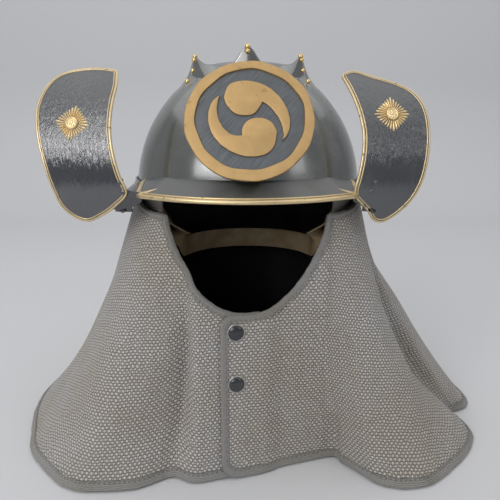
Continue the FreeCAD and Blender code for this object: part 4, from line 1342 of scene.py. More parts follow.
@dataclass
class Star:
    """A stamped lozenge of rays round a ringed flower."""

    maker: Maker
    plate: SidePlate
    seat: Grid
    across: Grid
    up: Grid
    half_width: float = 0.0168
    half_height: float = 0.0166
    rays_count: int = 28
    core: float = 0.0056
    base: float = 0.0005
    # Between the rays the ornament sinks this far under the plate's face, so the plate's black
    # lacquer shows in the grooves as painted shade and dirt.
    sunk: float = 0.0011
    relief: float = 0.0025
    notch_share: float = 0.8
    fullness: float = 1.16

    def place(self, u: Grid, v: Grid, w: Grid) -> Grid:
        """Points of the ornament, which is bent along its side plate."""
        flat = self.seat + u[..., None] * self.across + v[..., None] * self.up
        x, z = flat[..., 0], flat[..., 2]
        return self.plate.front(x, z) + w[..., None] * self.plate.normal(z)

    def rays(self, name: str) -> Thing:
        """The stamped rays, longest along the lozenge's two axes."""
        steps = self.rays_count * 12
        angle = np.linspace(0, math.tau, steps, endpoint=False)
        share = np.concatenate([[0.02], np.linspace(0.1, 0.86, 15), [0.92, 0.97, 1.0]])
        a, s = np.meshgrid(angle, share, indexing="ij")
        ray = np.abs(np.cos(a * self.rays_count / 2))
        reach = ((np.abs(np.cos(a)) / self.half_width) ** self.fullness
                 + (np.abs(np.sin(a)) / self.half_height) ** self.fullness) ** (-1 / self.fullness)
        reach = reach * (self.notch_share + (1 - self.notch_share) * np.sqrt(ray))
        r = reach * s
        rounded = np.sqrt(np.clip(1 - np.clip((s - 0.8) / 0.2, 0, 1) ** 2, 0, 1))
        fade = smooth_step(r, self.core * 0.8, self.core * 1.25)
        # Where the rays fall away the ornament dips under the plate, and the black lacquer there is
        # painted shade and dirt.
        w = self.relief * ray * fade * rounded - self.sunk
        top = self.place(r * np.cos(a), r * np.sin(a), w)
        low = self.place(r * np.cos(a), r * np.sin(a), np.full_like(w, -self.sunk - 0.0003))
        return capped(self.maker, name, np.swapaxes(top, 0, 1), np.swapaxes(low, 0, 1))

    def flower(self, name: str) -> Thing:
        """A beaded ring round a small plain flower."""
        angle = np.linspace(0, math.tau, 120, endpoint=False)
        radius = self.core * np.array([0.02, 0.1, 0.2, 0.28, 0.36, 0.46, 0.56, 0.63, 0.68, 0.73,
                                       0.79, 0.86, 0.93, 0.98, 1.0])
        a, r = np.meshgrid(angle, radius)
        share = r / self.core
        petals = np.abs(np.cos(a * 4)) ** 0.6 * smooth_step(share, 0.2, 0.34) \
            * smooth_step(0.68 - share, 0.0, 0.14)
        middle = np.sqrt(np.clip(1 - (share / 0.26) ** 2, 0, 1))
        ring = np.sqrt(np.clip(1 - ((share - 0.84) / 0.13) ** 2, 0, 1))
        ring = ring * (0.85 + 0.15 * np.cos(a * 20))
        w = self.base + 0.0006 + 0.0007 * petals + 0.0009 * middle + 0.0011 * ring
        w = np.where(share > 0.995, self.base - 0.0004, w)
        top = self.place(r * np.cos(a), r * np.sin(a), w)
        low = self.place(r * np.cos(a), r * np.sin(a), np.full_like(w, self.base - 0.0006))
        return capped(self.maker, name, top, low)


@dataclass
class NeckPlate:
    """The flared lame round the sides and back, with its upturned tabs and rivets."""

    maker: Maker
    wardrobe: Wardrobe
    scatter: Scatter
    plates: Sequence[SidePlate]
    reach: float = 0.029
    drop: float = 0.014
    band: float = 0.01
    thickness: float = 0.0022
    start: float = 51.0
    tab_width: float = 0.016
    tab_height: float = 0.03
    rivet_count: int = 9
    rivet_start: float = 68.0
    rivet_rise: float = 0.0055
    pin_shares: tuple = ((0.4, 0.62), (0.6, 0.88))

    def build(self) -> None:
        """Make the lame, its tabs and the rivets' heads."""
        place, t = self.maker.place, self.thickness
        r, rim, edge = place.radius, place.rim, place.radius + self.reach
        low = rim - self.drop
        roll = np.radians(np.linspace(-60, 200, 9))
        bead = np.stack([edge - 0.0008 + 0.0016 * np.cos(roll),
                         low + 0.0012 + 0.0016 * np.sin(roll)], axis=1)
        bend = np.array([(r + t + 0.004, rim + 0.002), (r + t + 0.0012, rim + 0.0045),
                         (r + t, rim + 0.0075), (r + t - 0.0003, rim + self.band)])
        back = np.array([(r + 0.0003, rim + self.band), (r + 0.0003, rim + 0.0006),
                         (r + 0.0025, rim - 0.0006)])
        profile = np.concatenate([bead, bend, back])
        lame = self.maker.turned("neck_lame", profile, self.start, 360 - self.start, 230)
        lames = [lame]
        inner = edge * math.sin(math.radians(self.start)) - self.tab_width / 2
        places, outs = [], []
        for plate in self.plates:
            side = plate.shape.side
            up = np.linspace(0, 1, 30)[:, None]
            cut = (0.45 - 1.0 * smooth_step(0.72 - up, 0.0, 0.16)
                   + 0.6 * smooth_step(0.34 - up, 0.0, 0.2))
            x = side * (inner + self.tab_width * (cut + (1 - cut) * np.linspace(0, 1, 12)))
            z = low + 0.0001 + self.tab_height * up + 0 * x
            gap = plate.thickness + 0.0001
            lames.append(self.maker.shell("tab", plate.front(x, z, gap),
                                          plate.front(x, z, gap + 0.002)))
            for out, up in self.pin_shares:
                spot = (np.array(side * (inner + self.tab_width * out)),
                        np.array(low + self.tab_height * up))
                places.append(plate.front(*spot))
                outs.append(plate.normal(spot[1]))
        self.wardrobe.dress(joined(lames), "neck", Slot.BLACK_LACQUER, replaces=["neck_plate"])
        names = ["side_plate_rivets_left", "side_plate_rivets_right"]
        self.heads("side_plate_rivet_heads", places, outs, names, "plate", 0.0022)
        turns = np.radians(self.rivet_start + np.arange(self.rivet_count)
                           * (360 - 2 * self.rivet_start) / (self.rivet_count - 1))
        out = np.stack([np.sin(turns), -np.cos(turns), 0 * turns], axis=1)
        spots = out * (r + t) + np.array([0, 0, rim + self.rivet_rise])
        self.heads("neck_rivet_heads", spots, out, ["neck_plate_rivets"], "brass", 0.0027)

    def heads(self, name: str, places: Sequence[Grid], outs: Sequence[Grid],
              replaces: Sequence[str], finish: str, radius: float) -> None:
        """Grow domed rivet heads on a few places.

        Args:
            name: The piece's name.
            places: Where the heads sit, about the bowl's axis.
            outs: The direction of each.
            replaces: The CAD nodes that they stand for.
            finish: The key of their finish.
            radius: The radius of a head.
        """
        grown = self.scatter.grow(name, self.scatter.heads, np.array(places), [], np.array(outs),
                                  self.wardrobe.materials[finish],
                                  {"Radius": radius, "Height": radius * 0.5, "Uneven": 0.04})
        self.wardrobe.dress(grown, finish, Slot.BRASS, replaces=replaces)


def joined(things: Sequence[Thing]) -> Thing:
    """Join meshes into the first of them."""
    first = things[0]
    with bpy.context.temp_override(active_object=first, selected_editable_objects=list(things)):
        bpy.ops.object.join()
    return first


@dataclass
class Inside:
    """The headband, the quilted lining of the bowl and the soft leather nape strap."""

    maker: Maker
    wardrobe: Wardrobe
    band_height: float = 0.014
    strap_width: float = 0.022
    strap_thickness: float = 0.0024
    strap_radius: float = 0.0708
    strap_drop: float = 0.08
    strap_forward: float = 0.015

    def build(self) -> None:
        """Make the three soft pieces."""
        rim, lift = self.maker.place.rim, self.band_height
        band_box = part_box("lining_band")
        outer = (band_box[1].x - band_box[0].x) / 2
        inner = outer - 0.0036
        roll = np.array([(outer, rim + 0.0006), (outer, rim + lift), (inner + 0.0006, rim + lift),
                         (inner - 0.0004, rim + lift * 0.75), (inner, rim + lift * 0.4),
                         (inner + 0.0003, rim + 0.0012), (inner + 0.0012, rim)])
        band = self.maker.turned("headband", roll)
        self.wardrobe.dress(band, "band", Slot.BAND, replaces=["lining_band"])
        self.build_cap(outer)
        self.build_strap(inner)

    def build_cap(self, outer: float) -> None:
        """The lining's cap, quilted in eight gores with rings of stitches."""
        place = self.maker.place
        equator = place.rim - 0.004
        cap_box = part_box("lining_cap")
        height = cap_box[1].z - equator
        low = math.acos(min(1.0, (cap_box[0].z - equator) / height))
        turns = np.linspace(0, math.tau, 240, endpoint=False)
        fall, turn = np.meshgrid(np.linspace(1e-3, low, 64), turns, indexing="ij")
        gore = np.abs(np.sin(turn * 4)) ** 0.35
        ring = np.abs(np.sin(fall / low * math.pi * 4)) ** 0.35
        puff = 0.0022 * gore * ring

        def dome(shrink: Grid) -> Grid:
            r = (outer - shrink) * np.sin(fall)
            return around(r, turn, equator + (height - shrink) * np.cos(fall))

        cap = capped(self.maker, "quilted_lining_cap", dome(0 * fall), dome(0.0008 + puff))
        self.wardrobe.dress(cap, "lining", Slot.LINING, replaces=["lining_cap"])

    def build_strap(self, inner: float) -> None:
        """The strap: down from the headband at each side, and round behind the nape."""
        rim = self.maker.place.rim
        top, low = rim + self.band_height * 0.8, rim - self.strap_drop
        mid = low + self.strap_width / 2
        reach = inner * 0.985
        side = [(reach, -self.strap_forward, top), (reach, -self.strap_forward, rim),
                (reach * 0.93, -self.strap_forward, rim - 0.018),
                (reach * 0.8, -self.strap_forward * 0.9, rim - 0.036),
                (self.strap_radius * 1.02, -self.strap_forward * 0.7, mid + 0.02),
                (self.strap_radius * 0.99, -self.strap_forward * 0.2, mid + 0.006)]
        turns = np.radians(np.linspace(15, 165, 9))
        loop = [(self.strap_radius * math.cos(t), self.strap_radius * math.sin(t),
                 mid - 0.003 * math.sin(t)) for t in turns]
        route = side + loop + [(-x, y, z) for x, y, z in side[::-1]]
        path = smooth_line(np.array(route), 260)
        tangent = unit(np.gradient(path, axis=0))
        share = np.abs(np.linspace(-1, 1, len(path)))
        hanging = smooth_step(share, 0.55, 0.8)[:, None]
        wide = unit((1 - hanging) * np.array([0, 0, 1.0]) + hanging * np.array([0, 1.0, 0.0])
                    * -np.ones(len(path))[:, None])
        wide = unit(wide - (wide * tangent).sum(axis=1, keepdims=True) * tangent)
        face = unit(np.cross(tangent, wide))
        half, thick = self.strap_width / 2, self.strap_thickness / 2
        cross = np.array([(-half, -thick * 0.6), (-half + 0.0008, -thick), (half - 0.0008, -thick),
                          (half, -thick * 0.6), (half, thick * 0.6), (half - 0.0008, thick),
                          (0.0, thick * 0.7), (-half + 0.0008, thick), (-half, thick * 0.6)])
        strap = self.maker.sweep("nape_strap_leather", path, wide, face, lambda s: cross, False)
        self.wardrobe.dress(strap, "strap", Slot.LEATHER, replaces=["nape_strap"])


# Stations of the cape: azimuth at the top, x and y at the hem as shares of its reach, and how
# far a fold draws the cloth in half way down, as a share of the fold's depth.
# The first stretch is a straight line across the front, where the strip overlaps.
STATION_SHARES = (
    (-22.0, -0.173, -0.514, 0.0), (36.0, 0.302, -0.365, 0.0), (41.0, 0.37, -0.41, 0.0),
    (46.0, 0.489, -0.524, 0.0), (54.0, 0.675, -0.519, 0.0), (62.0, 0.81, -0.41, 0.15),
    (64.5, 0.912, -0.25, 1.0), (68.0, 0.9, -0.06, 1.1), (78.0, 0.965, -0.035, 0.1),
    (90.0, 1.02, 0.016, 0.0), (104.0, 1.02, 0.235, 0.0), (118.0, 0.91, 0.431, 0.3),
    (133.0, 0.725, 0.62, 0.0), (147.0, 0.47, 0.675, -0.1), (157.0, 0.294, 0.659, 0.4),
    (169.0, 0.137, 0.714, -0.1), (180.0, 0.0, 0.729, 0.1), (191.0, -0.137, 0.714, -0.1),
    (203.0, -0.306, 0.659, 0.4), (213.0, -0.478, 0.675, -0.1), (227.0, -0.737, 0.62, 0.0),
    (242.0, -0.902, 0.424, 0.3), (258.0, -0.98, 0.19, 0.4), (274.0, -0.968, -0.08, 0.4),
    (286.0, -0.892, -0.28, 0.2), (297.0, -0.785, -0.43, 0.0), (309.0, -0.64, -0.53, -0.2),
    (320.0, -0.455, -0.545, 0.1), (329.0, -0.31, -0.53, 0.4))


@dataclass(frozen=True)
class Fold:
    """A groove or ridge that runs down the cape: negative depth is a groove."""

    top: float
    bottom: float
    width: float
    depth: float
    start: float


FOLDS = (
    Fold(28.15, 28.15, 0.55, -0.008, 0.2), Fold(26.6, 26.2, 0.8, 0.004, 0.2),
    Fold(1.7, 1.55, 0.22, -0.004, 0.07), Fold(11.6, 11.4, 0.3, -0.003, 0.2),
    Fold(20.6, 20.7, 0.3, -0.003, 0.2), Fold(23.6, 23.7, 0.4, -0.002, 0.16))


@dataclass(frozen=True)
class Bulge:
    """A soft round swelling of the cape."""

    station: float
    z: float
    width: float
    height: float
    depth: float


BULGES = (Bulge(5.75, 0.03, 0.5, 0.024, 0.005), Bulge(6.5, 0.0, 0.5, 0.04, 0.012),
          Bulge(9.4, 0.185, 2.2, 0.05, -0.011), Bulge(28.35, 0.085, 0.32, 0.075, -0.012))


@dataclass
class Cape:
    """The woven cape: three panels, an overlap strip at the front, bindings and a lining."""

    maker: Maker
    wardrobe: Wardrobe
    scatter: Scatter
    reach: float = 0.255
    top_radius: float = 0.11206
    top_gap: float = 0.0005
    cloth: float = 0.003
    lining: float = 0.001
    lining_gap: float = 0.0004
    neck_half: float = 0.073
    neck_low: float = 0.104
    neck_high: float = 0.016
    strip_lift: float = 0.0039
    strip_edge: float = -0.024
    under_edge: float = 0.012
    corner: float = 0.017
    right_seam: float = 10.6
    left_seam: float = 21.3
    step: float = 0.0024
    rows: int = 92
    binding: float = 0.0055
    hem: float = 0.0092
    hem_lift: float = 0.0015
    fold_depth: float = 0.014
    fold_start: tuple = (0.058, 0.0, 0.0)
    fold_end: tuple = (0.034, 0.0, 0.0)

    def __post_init__(self) -> None:
        """Work out the top ring and the hem line."""
        self.top = self.maker.place.rim - self.top_gap
        self.seams = []
        turn = np.radians([s[0] for s in STATION_SHARES])
        self.tops = self.top_radius * np.stack([np.sin(turn), -np.cos(turn)], axis=1)
        self.hems = self.reach * np.array([s[1:3] for s in STATION_SHARES])
        self.tucks = self.fold_depth * np.array([s[3:] for s in STATION_SHARES])
        self.gaps = np.linalg.norm(np.roll(self.hems, -1, 0) - self.hems, axis=1)[:, None]
        self.count = len(STATION_SHARES)

    def line(self, stations: Grid, s: Grid) -> Grid:
        """Values on the closed smooth line through the stations, straight in its first stretch."""
        gaps = self.gaps
        rate = (np.roll(stations, -1, 0) - stations) / gaps
        before, back = np.roll(rate, 1, 0), np.roll(gaps, 1, 0)
        slope = (rate * back + before * gaps) / (gaps + back)
        sizes = [np.linalg.norm(v, axis=1, keepdims=True) for v in (rate, before, slope)]
        slope = slope * np.minimum(1.0, 2 * np.minimum(sizes[0], sizes[1]) / (sizes[2] + 1e-12))
        slope[0] = slope[1] = rate[0]
        i = np.floor(s).astype(int) % self.count
        k = (i + 1) % self.count
        f, h = (s - np.floor(s))[..., None], gaps[i]
        return hermite(f, h, (stations[i], stations[k]), (slope[i], slope[k]))

    def spread(self, z: Grid) -> Grid:
        """How far the cape has spread towards its hem at a height."""
        down = 1 - z / self.top
        return 0.72 * down + 0.28 * down ** 3

    def base(self, s: Grid, z: Grid) -> Grid:
        """Points of the cape without folds."""
        top, hem = self.line(self.tops, s), self.line(self.hems, s)
        flat = top + (hem - top) * self.spread(z)[..., None]
        return np.concatenate([flat, z[..., None]], axis=-1)

    def neck_line(self, x: Grid, y: Grid) -> Grid:
        """Height of the cloth's upper edge over a place."""
        rim = self.maker.place.rim
        low, high = rim - self.neck_low, rim - self.neck_high
        share = np.clip(np.abs(x) / self.neck_half, 0, 1)
        neck = low + (high - low) * (1 - np.clip(1 - share ** 2.2, 0, 1) ** 0.77)
        sides = high + (self.top - high) * smooth_step(y, -0.085, 0.0)
        return np.where((np.abs(x) < self.neck_half) & (y < 0), neck, sides)

    def upper(self, s: Grid) -> Grid:
        """Height at which each column meets the cloth's upper edge."""
        low, high = np.full_like(s, 0.1), np.full_like(s, self.top + 0.002)
        for _ in range(40):
            z = (low + high) / 2
            spot = self.base(s, z)
            above = z > self.neck_line(spot[..., 0], spot[..., 1])
            high, low = np.where(above, z, high), np.where(above, low, z)
        return np.minimum((low + high) / 2, self.top)

    def drape(self, s: Grid, z: Grid) -> Grid:
        """How far folds and waves push the cloth outwards."""
        push = np.zeros_like(z)
        share = 1 - z / self.top
        for fold in FOLDS:
            middle = fold.top + (fold.bottom - fold.top) * share
            away = (s - middle + self.count / 2) % self.count - self.count / 2
            push += (fold.depth * np.exp(-(away / fold.width) ** 2)
                     * smooth_step(fold.start - z, 0.0, fold.start * 0.8))
        for bulge in BULGES:
            push += bulge.depth * np.exp(-((s - bulge.station) / bulge.width) ** 2
                                         - ((z - bulge.z) / bulge.height) ** 2)
        turn = s / self.count * math.tau
        calm = smooth_step(np.minimum(s % self.count, -s % self.count), 0.2, 1.4)
        calm = np.where(s % self.count < 1.0, 0.0, calm)
        slow = np.sin(11 * turn + 9 * z / 0.26) + 0.7 * np.sin(17 * turn - 14 * z / 0.26 + 1.0)
        push += 0.0009 * slow * smooth_step(share, 0.1, 0.5) * calm
        ripple = np.sin(75 * turn + 30 * z) * np.sin(23 * turn + 0.7)
        push += 0.0004 * ripple * smooth_step(0.05 - z, 0.0, 0.05) * calm
        folded = smooth_step(z, 0.0, 0.099) * smooth_step(-z, -self.top, -0.13)
        push -= self.line(self.tucks, s)[..., 0] * folded
        wrinkle = np.sin((s * 0.05 - z) * math.tau / 0.011)
        zone = np.exp(-((s - 1.75) / 0.4) ** 2 - ((z - 0.034) / 0.018) ** 2)
        push += 0.0011 * wrinkle * zone
        return push

    def columns(self, start: float, end: float) -> Grid:
        """Station coordinates of the columns, about evenly spaced at the hem and the top."""
        fine = np.linspace(start, end, 2400)
        mean = (np.linalg.norm(np.diff(self.line(self.hems, fine), axis=0), axis=1) * 0.6
                + np.linalg.norm(np.diff(self.line(self.tops, fine), axis=0), axis=1) * 0.8)
        along = np.concatenate([[0.0], np.cumsum(mean)])
        count = int(along[-1] / self.step)
        return np.interp(np.linspace(0, along[-1], count), along, fine)

    def grid(self, s: Grid, upper: Grid, lower: Grid, rows: int) -> tuple:
        """The outer surface of a panel and its normals.

        Args:
            s: Station coordinates of the columns.
            upper: Height of each column's upper end.
            lower: Height of each column's lower end.
            rows: How many rows to make.

        Returns:
            Points and unit normals, rows by columns.
        """
        t = np.linspace(0, 1, rows)[:, None]
        z = upper[None, :] + (lower - upper)[None, :] * t
        wide = np.broadcast_to(s[None, :], z.shape)
        flat = self.base(wide, z)
        level = unit(normals(flat) * np.array([1.0, 1.0, 0.0]))
        points = flat + self.drape(wide, z)[..., None] * level
        return points, normals(points)

    def strip_rise(self, points: Grid) -> Grid:
        """How far the right panel lifts where it passes over the left one."""
        front = points[..., 1] < 0
        away = smooth_step(points[..., 0], 0.014, 0.034)
        return np.where(front, self.strip_lift * (1 - away), 0.0)

    def cut(self, s: Grid, upper: Grid, lower: Grid, rows: int) -> Grid:
        """The cloth's flat cut: where each point lies once the panel is laid flat."""
        top, hem = self.line(self.tops, s), self.line(self.hems, s)
        slant = np.sqrt(((hem - top) ** 2).sum(axis=1) + self.top ** 2)
        wide_top = np.linalg.norm(np.diff(top, axis=0), axis=1)
        wide_hem = np.linalg.norm(np.diff(hem, axis=0), axis=1)
        fan = np.concatenate([[0.0], np.cumsum((wide_hem - wide_top) / slant[1:])])
        middle = (fan[1:] + fan[:-1]) / 2
        x = np.concatenate([[0.0], np.cumsum(wide_top * np.cos(middle))])
        y = np.concatenate([[0.0], np.cumsum(wide_top * np.sin(middle))])
        t = np.linspace(0, 1, rows)[:, None]
        z = upper[None, :] + (lower - upper)[None, :] * t
        down = (1 - z / self.top) * slant[None, :]
        return np.stack([x + down * np.sin(fan), y - down * np.cos(fan)], axis=-1)

    def panel(self, name: str, s: Grid, upper: Grid, lower: Grid, turned: bool) -> tuple:
        """Make one panel of cloth.

        Args:
            name: The panel's name.
            s: Station coordinates of its columns.
            upper: Height of each column's upper end.
            lower: Height of each column's lower end.
            turned: Whether its straight threads follow its last column.

        Returns:
            The piece, its outer points and its normals.
        """
        points, out = self.grid(s, upper, lower, self.rows)
        if name.endswith("right"):
            points = points + self.strip_rise(points)[..., None] * out
        if turned:
            flat = self.cut(s[::-1], upper[::-1], lower[::-1], self.rows)[:, ::-1]
        else:
            flat = self.cut(s, upper, lower, self.rows)
        piece = self.maker.shell(name, settled(points), settled(points - self.cloth * out), flat)
        return piece, points, out

    def bind(self, name: str, path: Grid, out: Grid, toward: Grid) -> Thing:
        """Sew a folded tape over an edge, a little puckered.

        Args:
            name: The tape's name.
            path: Points along the cloth's edge, on its outer face.
            out: The cloth's normals there.
            toward: A point inside the panel, near the middle of the path.

        Returns:
            The new piece.
        """
        along, width = arc_length(path), self.edge_width(path)
        count = int(along[-1] / 0.0014)
        at = np.linspace(0, along[-1], count)
        path, out = (np.stack([np.interp(at, along, rows[:, k]) for k in range(3)], axis=1)
                     for rows in (path, out))
        reach = relaxed(np.interp(at, along, width)[:, None], 12, False)[:, 0]
        path, out = relaxed(path, 2, False), unit(relaxed(out, 2, False))
        tangent = unit(np.gradient(path, axis=0))
        inward = unit(np.cross(out, tangent))
        middle = count // 2
        if ((toward - path[middle]) * inward[middle]).sum() < 0:
            inward = -inward
        seed = sum(ord(letter) for letter in name)
        pucker = np.sin(at / 0.0125 * math.tau + 2.2 * np.sin(at / 0.083 * math.tau + seed))
        pucker = np.clip(pucker, 0, 1) ** 3
        cloth = self.cloth
        rings = []
        for i in range(count):
            w, rise = reach[i], 0.0007 + 0.0005 * (1 - pucker[i])
            pairs = np.array([
                (w, 0.0001), (w - 0.0002, rise * 0.8), (w - 0.0012, rise * 0.55), (w * 0.45, rise),
                (0.0006, rise * 0.9), (-0.0008, -cloth * 0.2),
                (-0.0011 - 0.0004 * pucker[i], -cloth / 2), (-0.0008, -cloth * 0.8),
                (0.0006, -cloth - rise * 0.7), (w * 0.5, -cloth - rise * 0.7),
                (w - 0.0003, -cloth - rise * 0.5), (w, -cloth - 0.0001), (w * 0.5, -cloth / 2)])
            rings.append(path[i] + pairs[:, :1] * inward[i] + pairs[:, 1:] * out[i])
        rings = np.array(rings)
        across = np.linspace(0, 0.02, rings.shape[1])
        flat = np.stack(np.broadcast_arrays(at[:, None], across[None, :]), axis=-1)
        self.seams.append((path + (reach - 0.0018)[:, None] * inward + 0.0006 * out, out))
        return self.maker.mesh(name, settled(rings.reshape(-1, 3)), tube_faces(rings, False),
                               flat.reshape(-1, 2))

    def sew(self, name: str) -> Thing:
        """Run a line of stitches along the binding that was made last."""
        line, out = self.seams[-1]
        edges = [(i, i + 1) for i in range(len(line) - 1)]
        return self.scatter.grow(name, self.scatter.stitches, settled(line), edges, out,
                                 self.wardrobe.materials["thread"],
                                 {"Step": 0.0045, "Length": 0.0026, "Thickness": 0.0004})

    def edge_width(self, path: Grid) -> Grid:
        """Tape width along an edge: the hem's band is wider than the rest."""
        return self.binding + (self.hem - self.binding) * smooth_step(0.02 - path[:, 2], 0.0, 0.012)

    def rounded(self, x: Grid) -> Grid:
        """How far the strip's rounded corner cuts in from its end at a place."""
        inside = np.clip(self.strip_edge + self.corner - x, 0, self.corner)
        return self.corner - np.sqrt(np.clip(self.corner ** 2 - inside ** 2, 0, None))

    def build(self) -> None:
        """Make the panels, their bindings, the lining and the top tape."""
        place = self.maker.place
        fold = [[x + place.x, y, z] for x, y, z in (self.fold_start, self.fold_end)]
        edge_s = self.station_of(self.strip_edge)
        tail = edge_s + (1 - np.cos(np.linspace(0, math.pi / 2, 12)[:-1])) * 0.14
        s = np.concatenate([tail, self.columns(tail[-1] + 0.012, self.right_seam)])
        upper = self.upper(s)
        high = upper - self.rounded(self.base(s, upper)[:, 0])
        low = self.rounded(self.base(s, 0 * s)[:, 0]) + self.hem_lift
        right, points, out = self.panel("cape_panel_right", s, high, low, False)
        path, sides = (np.concatenate([rows[0, ::-1], rows[1:, 0], rows[-1, 1:]])
                       for rows in (points, out))
        bound = self.bind("cape_binding_tape_right", path, sides,
                          points[self.rows // 2, len(s) // 8])
        self.wardrobe.dress(bound, "tape", Slot.TAPE, fold=fold,
                            replaces=["flap_binding", "flap_hem", "cape_binding_right"])
        self.wardrobe.dress(self.sew("binding_stitches_right"), "thread", Slot.TAPE, fold=fold)
        self.wardrobe.dress(right, "cape", Slot.QUILTED, fold=fold,
                            replaces=["flap_cloth", "cape_right"])
        self.build_left()
        self.build_back()
        self.build_lining()
        self.build_top_tape()

    def build_left(self) -> None:
        """Make the left panel, which passes under the strip, and its binding."""
        under_s = self.station_of(self.under_edge) + self.count
        s = self.columns(self.left_seam, under_s)
        lower = np.full_like(s, self.hem_lift)
        left, points, out = self.panel("cape_panel_left", s, self.upper(s), lower, True)
        path, sides = (np.concatenate([rows[0], rows[1:, -1], rows[-1, -2::-1]])
                       for rows in (points, out))
        bound = self.bind("cape_binding_tape_left", path, sides,
                          points[self.rows // 2, -len(s) // 8])
        self.wardrobe.dress(bound, "tape", Slot.TAPE, replaces=["cape_binding_left"])
        self.wardrobe.dress(self.sew("binding_stitches_left"), "thread", Slot.TAPE)
        self.wardrobe.dress(left, "cape", Slot.QUILTED, replaces=["cape_left"])

    def build_back(self) -> None:
        """Make the back panel, with its upper and lower bindings."""
        s = self.columns(self.right_seam, self.left_seam)
        lower = np.full_like(s, self.hem_lift)
        back, points, out = self.panel("cape_panel_back", s, self.upper(s), lower, False)
        middle = points[self.rows // 2, len(s) // 2]
        high = self.bind("cape_top_binding_back", points[0], out[0], middle)
        low = self.bind("cape_hem_tape_back", points[-1], out[-1], middle)
        self.wardrobe.dress(self.sew("binding_stitches_back"), "thread", Slot.TAPE)
        self.wardrobe.dress(low, "tape", Slot.TAPE, replaces=["cape_hem_binding"])
        self.wardrobe.dress(high, "tape", Slot.TAPE)
        self.wardrobe.dress(back, "cape", Slot.QUILTED, replaces=["cape_back"])

    def build_lining(self) -> None:
        """Make the lining sheet inside the panels."""
        s = self.columns(1.02, self.count + self.station_of(self.under_edge) - 0.1)[::3]
        upper = self.upper(s) - 0.007
        points, out = self.grid(s, upper, 0 * s + 0.011, 60)
        near = points - (self.cloth + self.lining_gap) * out
        along = arc_length(points[30])
        flat = np.stack(np.broadcast_arrays(along[None, :], points[..., 2]), axis=-1)
        sheet = self.maker.shell("cape_lining_sheet", near, near - self.lining * out, flat)
        self.wardrobe.dress(sheet, "lining", Slot.LINING, replaces=["cape_lining"])

    def build_top_tape(self) -> None:
        """Make the ring of tape that is riveted inside the bowl's rim."""
        low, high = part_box("cape_top_tape")
        outer = (high.x - low.x) / 2
        inner = outer - 0.0022
        z0, z1 = low.z, high.z
        profile = np.array([(outer, z0 + 0.001), (outer - 0.0004, z1 - 0.001), (outer - 0.001, z1),
                            (inner, z1 - 0.0008), (inner + 0.0003, (z0 + z1) / 2),
                            (inner, z0 + 0.0008), (inner + 0.0008, z0), (outer - 0.0006, z0)])
        start = math.degrees(math.asin((self.neck_half + 0.008) / self.top_radius))
        tape = self.maker.turned("cape_rim_tape", profile, start, 360 - start, 200)
        self.wardrobe.dress(tape, "tape", Slot.TAPE, replaces=["cape_top_tape"])

    def station_of(self, x: float) -> float:
        """Station coordinate of a place on the straight front, at half height."""
        first, last = self.base(np.array([0.0, 1.0]), np.array([0.1, 0.1]))[:, 0]
        return float((x - first) / (last - first))

    def front_spot(self, x: float, z: float) -> tuple:
        """A point on the strip's outer face, and its normal."""
        s = self.station_of(x) + np.array([-0.01, 0.0, 0.01])
        heights = z + np.array([0.002, 0.0, -0.002])
        points = self.base(*np.broadcast_arrays(s[None, :], heights[:, None]))
        out = normals(points)[1, 1]
        return points[1, 1] + self.strip_lift * out, out


def settled(points: Grid, soft: float = 0.004, floor: float = 0.0003) -> Grid:
    """Cloth that would sink below the floor, laid flat on it."""
    out = np.array(points)
    z = out[..., 2]
    low = floor + (soft - floor) * np.exp((np.minimum(z, soft) - soft) / (soft - floor))
    out[..., 2] = np.where(z < soft, low, z)
    return out


def normals(points: Grid) -> Grid:
    """Unit normals of a grid whose rows go down and whose columns go round."""
    return unit(np.cross(np.gradient(points, axis=1), -np.gradient(points, axis=0)))


@dataclass
class Snaps:
    """The two snaps of the overlap strip: a dark domed cap in a bright ring."""

    maker: Maker
    wardrobe: Wardrobe
    cape: Cape
    x: float = -0.011
    heights: tuple = (0.143, 0.094)
    radius: float = 0.0078
    dome: float = 0.0029

    def round_piece(self, name: str, profile: Sequence) -> Thing:
        """Turn a closed profile (radius, rise) about each snap's own axis, and join the two."""
        made = []
        for height in self.heights:
            spot, out = self.cape.front_spot(self.x, height)
            across = unit(np.cross(np.array([0.0, 0.0, 1.0]), out))
            up = np.cross(out, across)
            angles = np.linspace(0, math.tau, 64, endpoint=False)
            rings = np.array([[spot + r * (math.cos(t) * across + math.sin(t) * up) + w * out
                               for r, w in profile] for t in angles])
            made.append(self.maker.hoop(name, rings, 2e-6))
        thing = joined(made)
        thing.name = name
        return thing

    def build(self) -> None:
        """Make the caps and their rings."""
        r, rise = self.radius, self.dome
        fall = np.linspace(0, math.pi / 2, 12)
        cap = [(0.92 * r * math.sin(t), 0.0004 + rise * math.cos(t) ** 0.8) for t in fall[:-1]]
        cap += [(0.92 * r, 0.0004), (0.9 * r, 0.0), (0.0, 0.0)]
        caps = self.round_piece("snap_cap_domes", cap)
        self.wardrobe.dress(caps, "enamel", Slot.ENAMEL, Body.FLAP, ["snap_caps"])
        turn = np.linspace(0, math.tau, 10, endpoint=False)
        ring = [(r * 0.97 + 0.0007 * math.cos(t), 0.0005 + 0.0006 * math.sin(t)) for t in turn]
        rings = self.round_piece("snap_cap_rings", ring)
        self.wardrobe.dress(rings, "steel", Slot.ENAMEL, Body.FLAP)


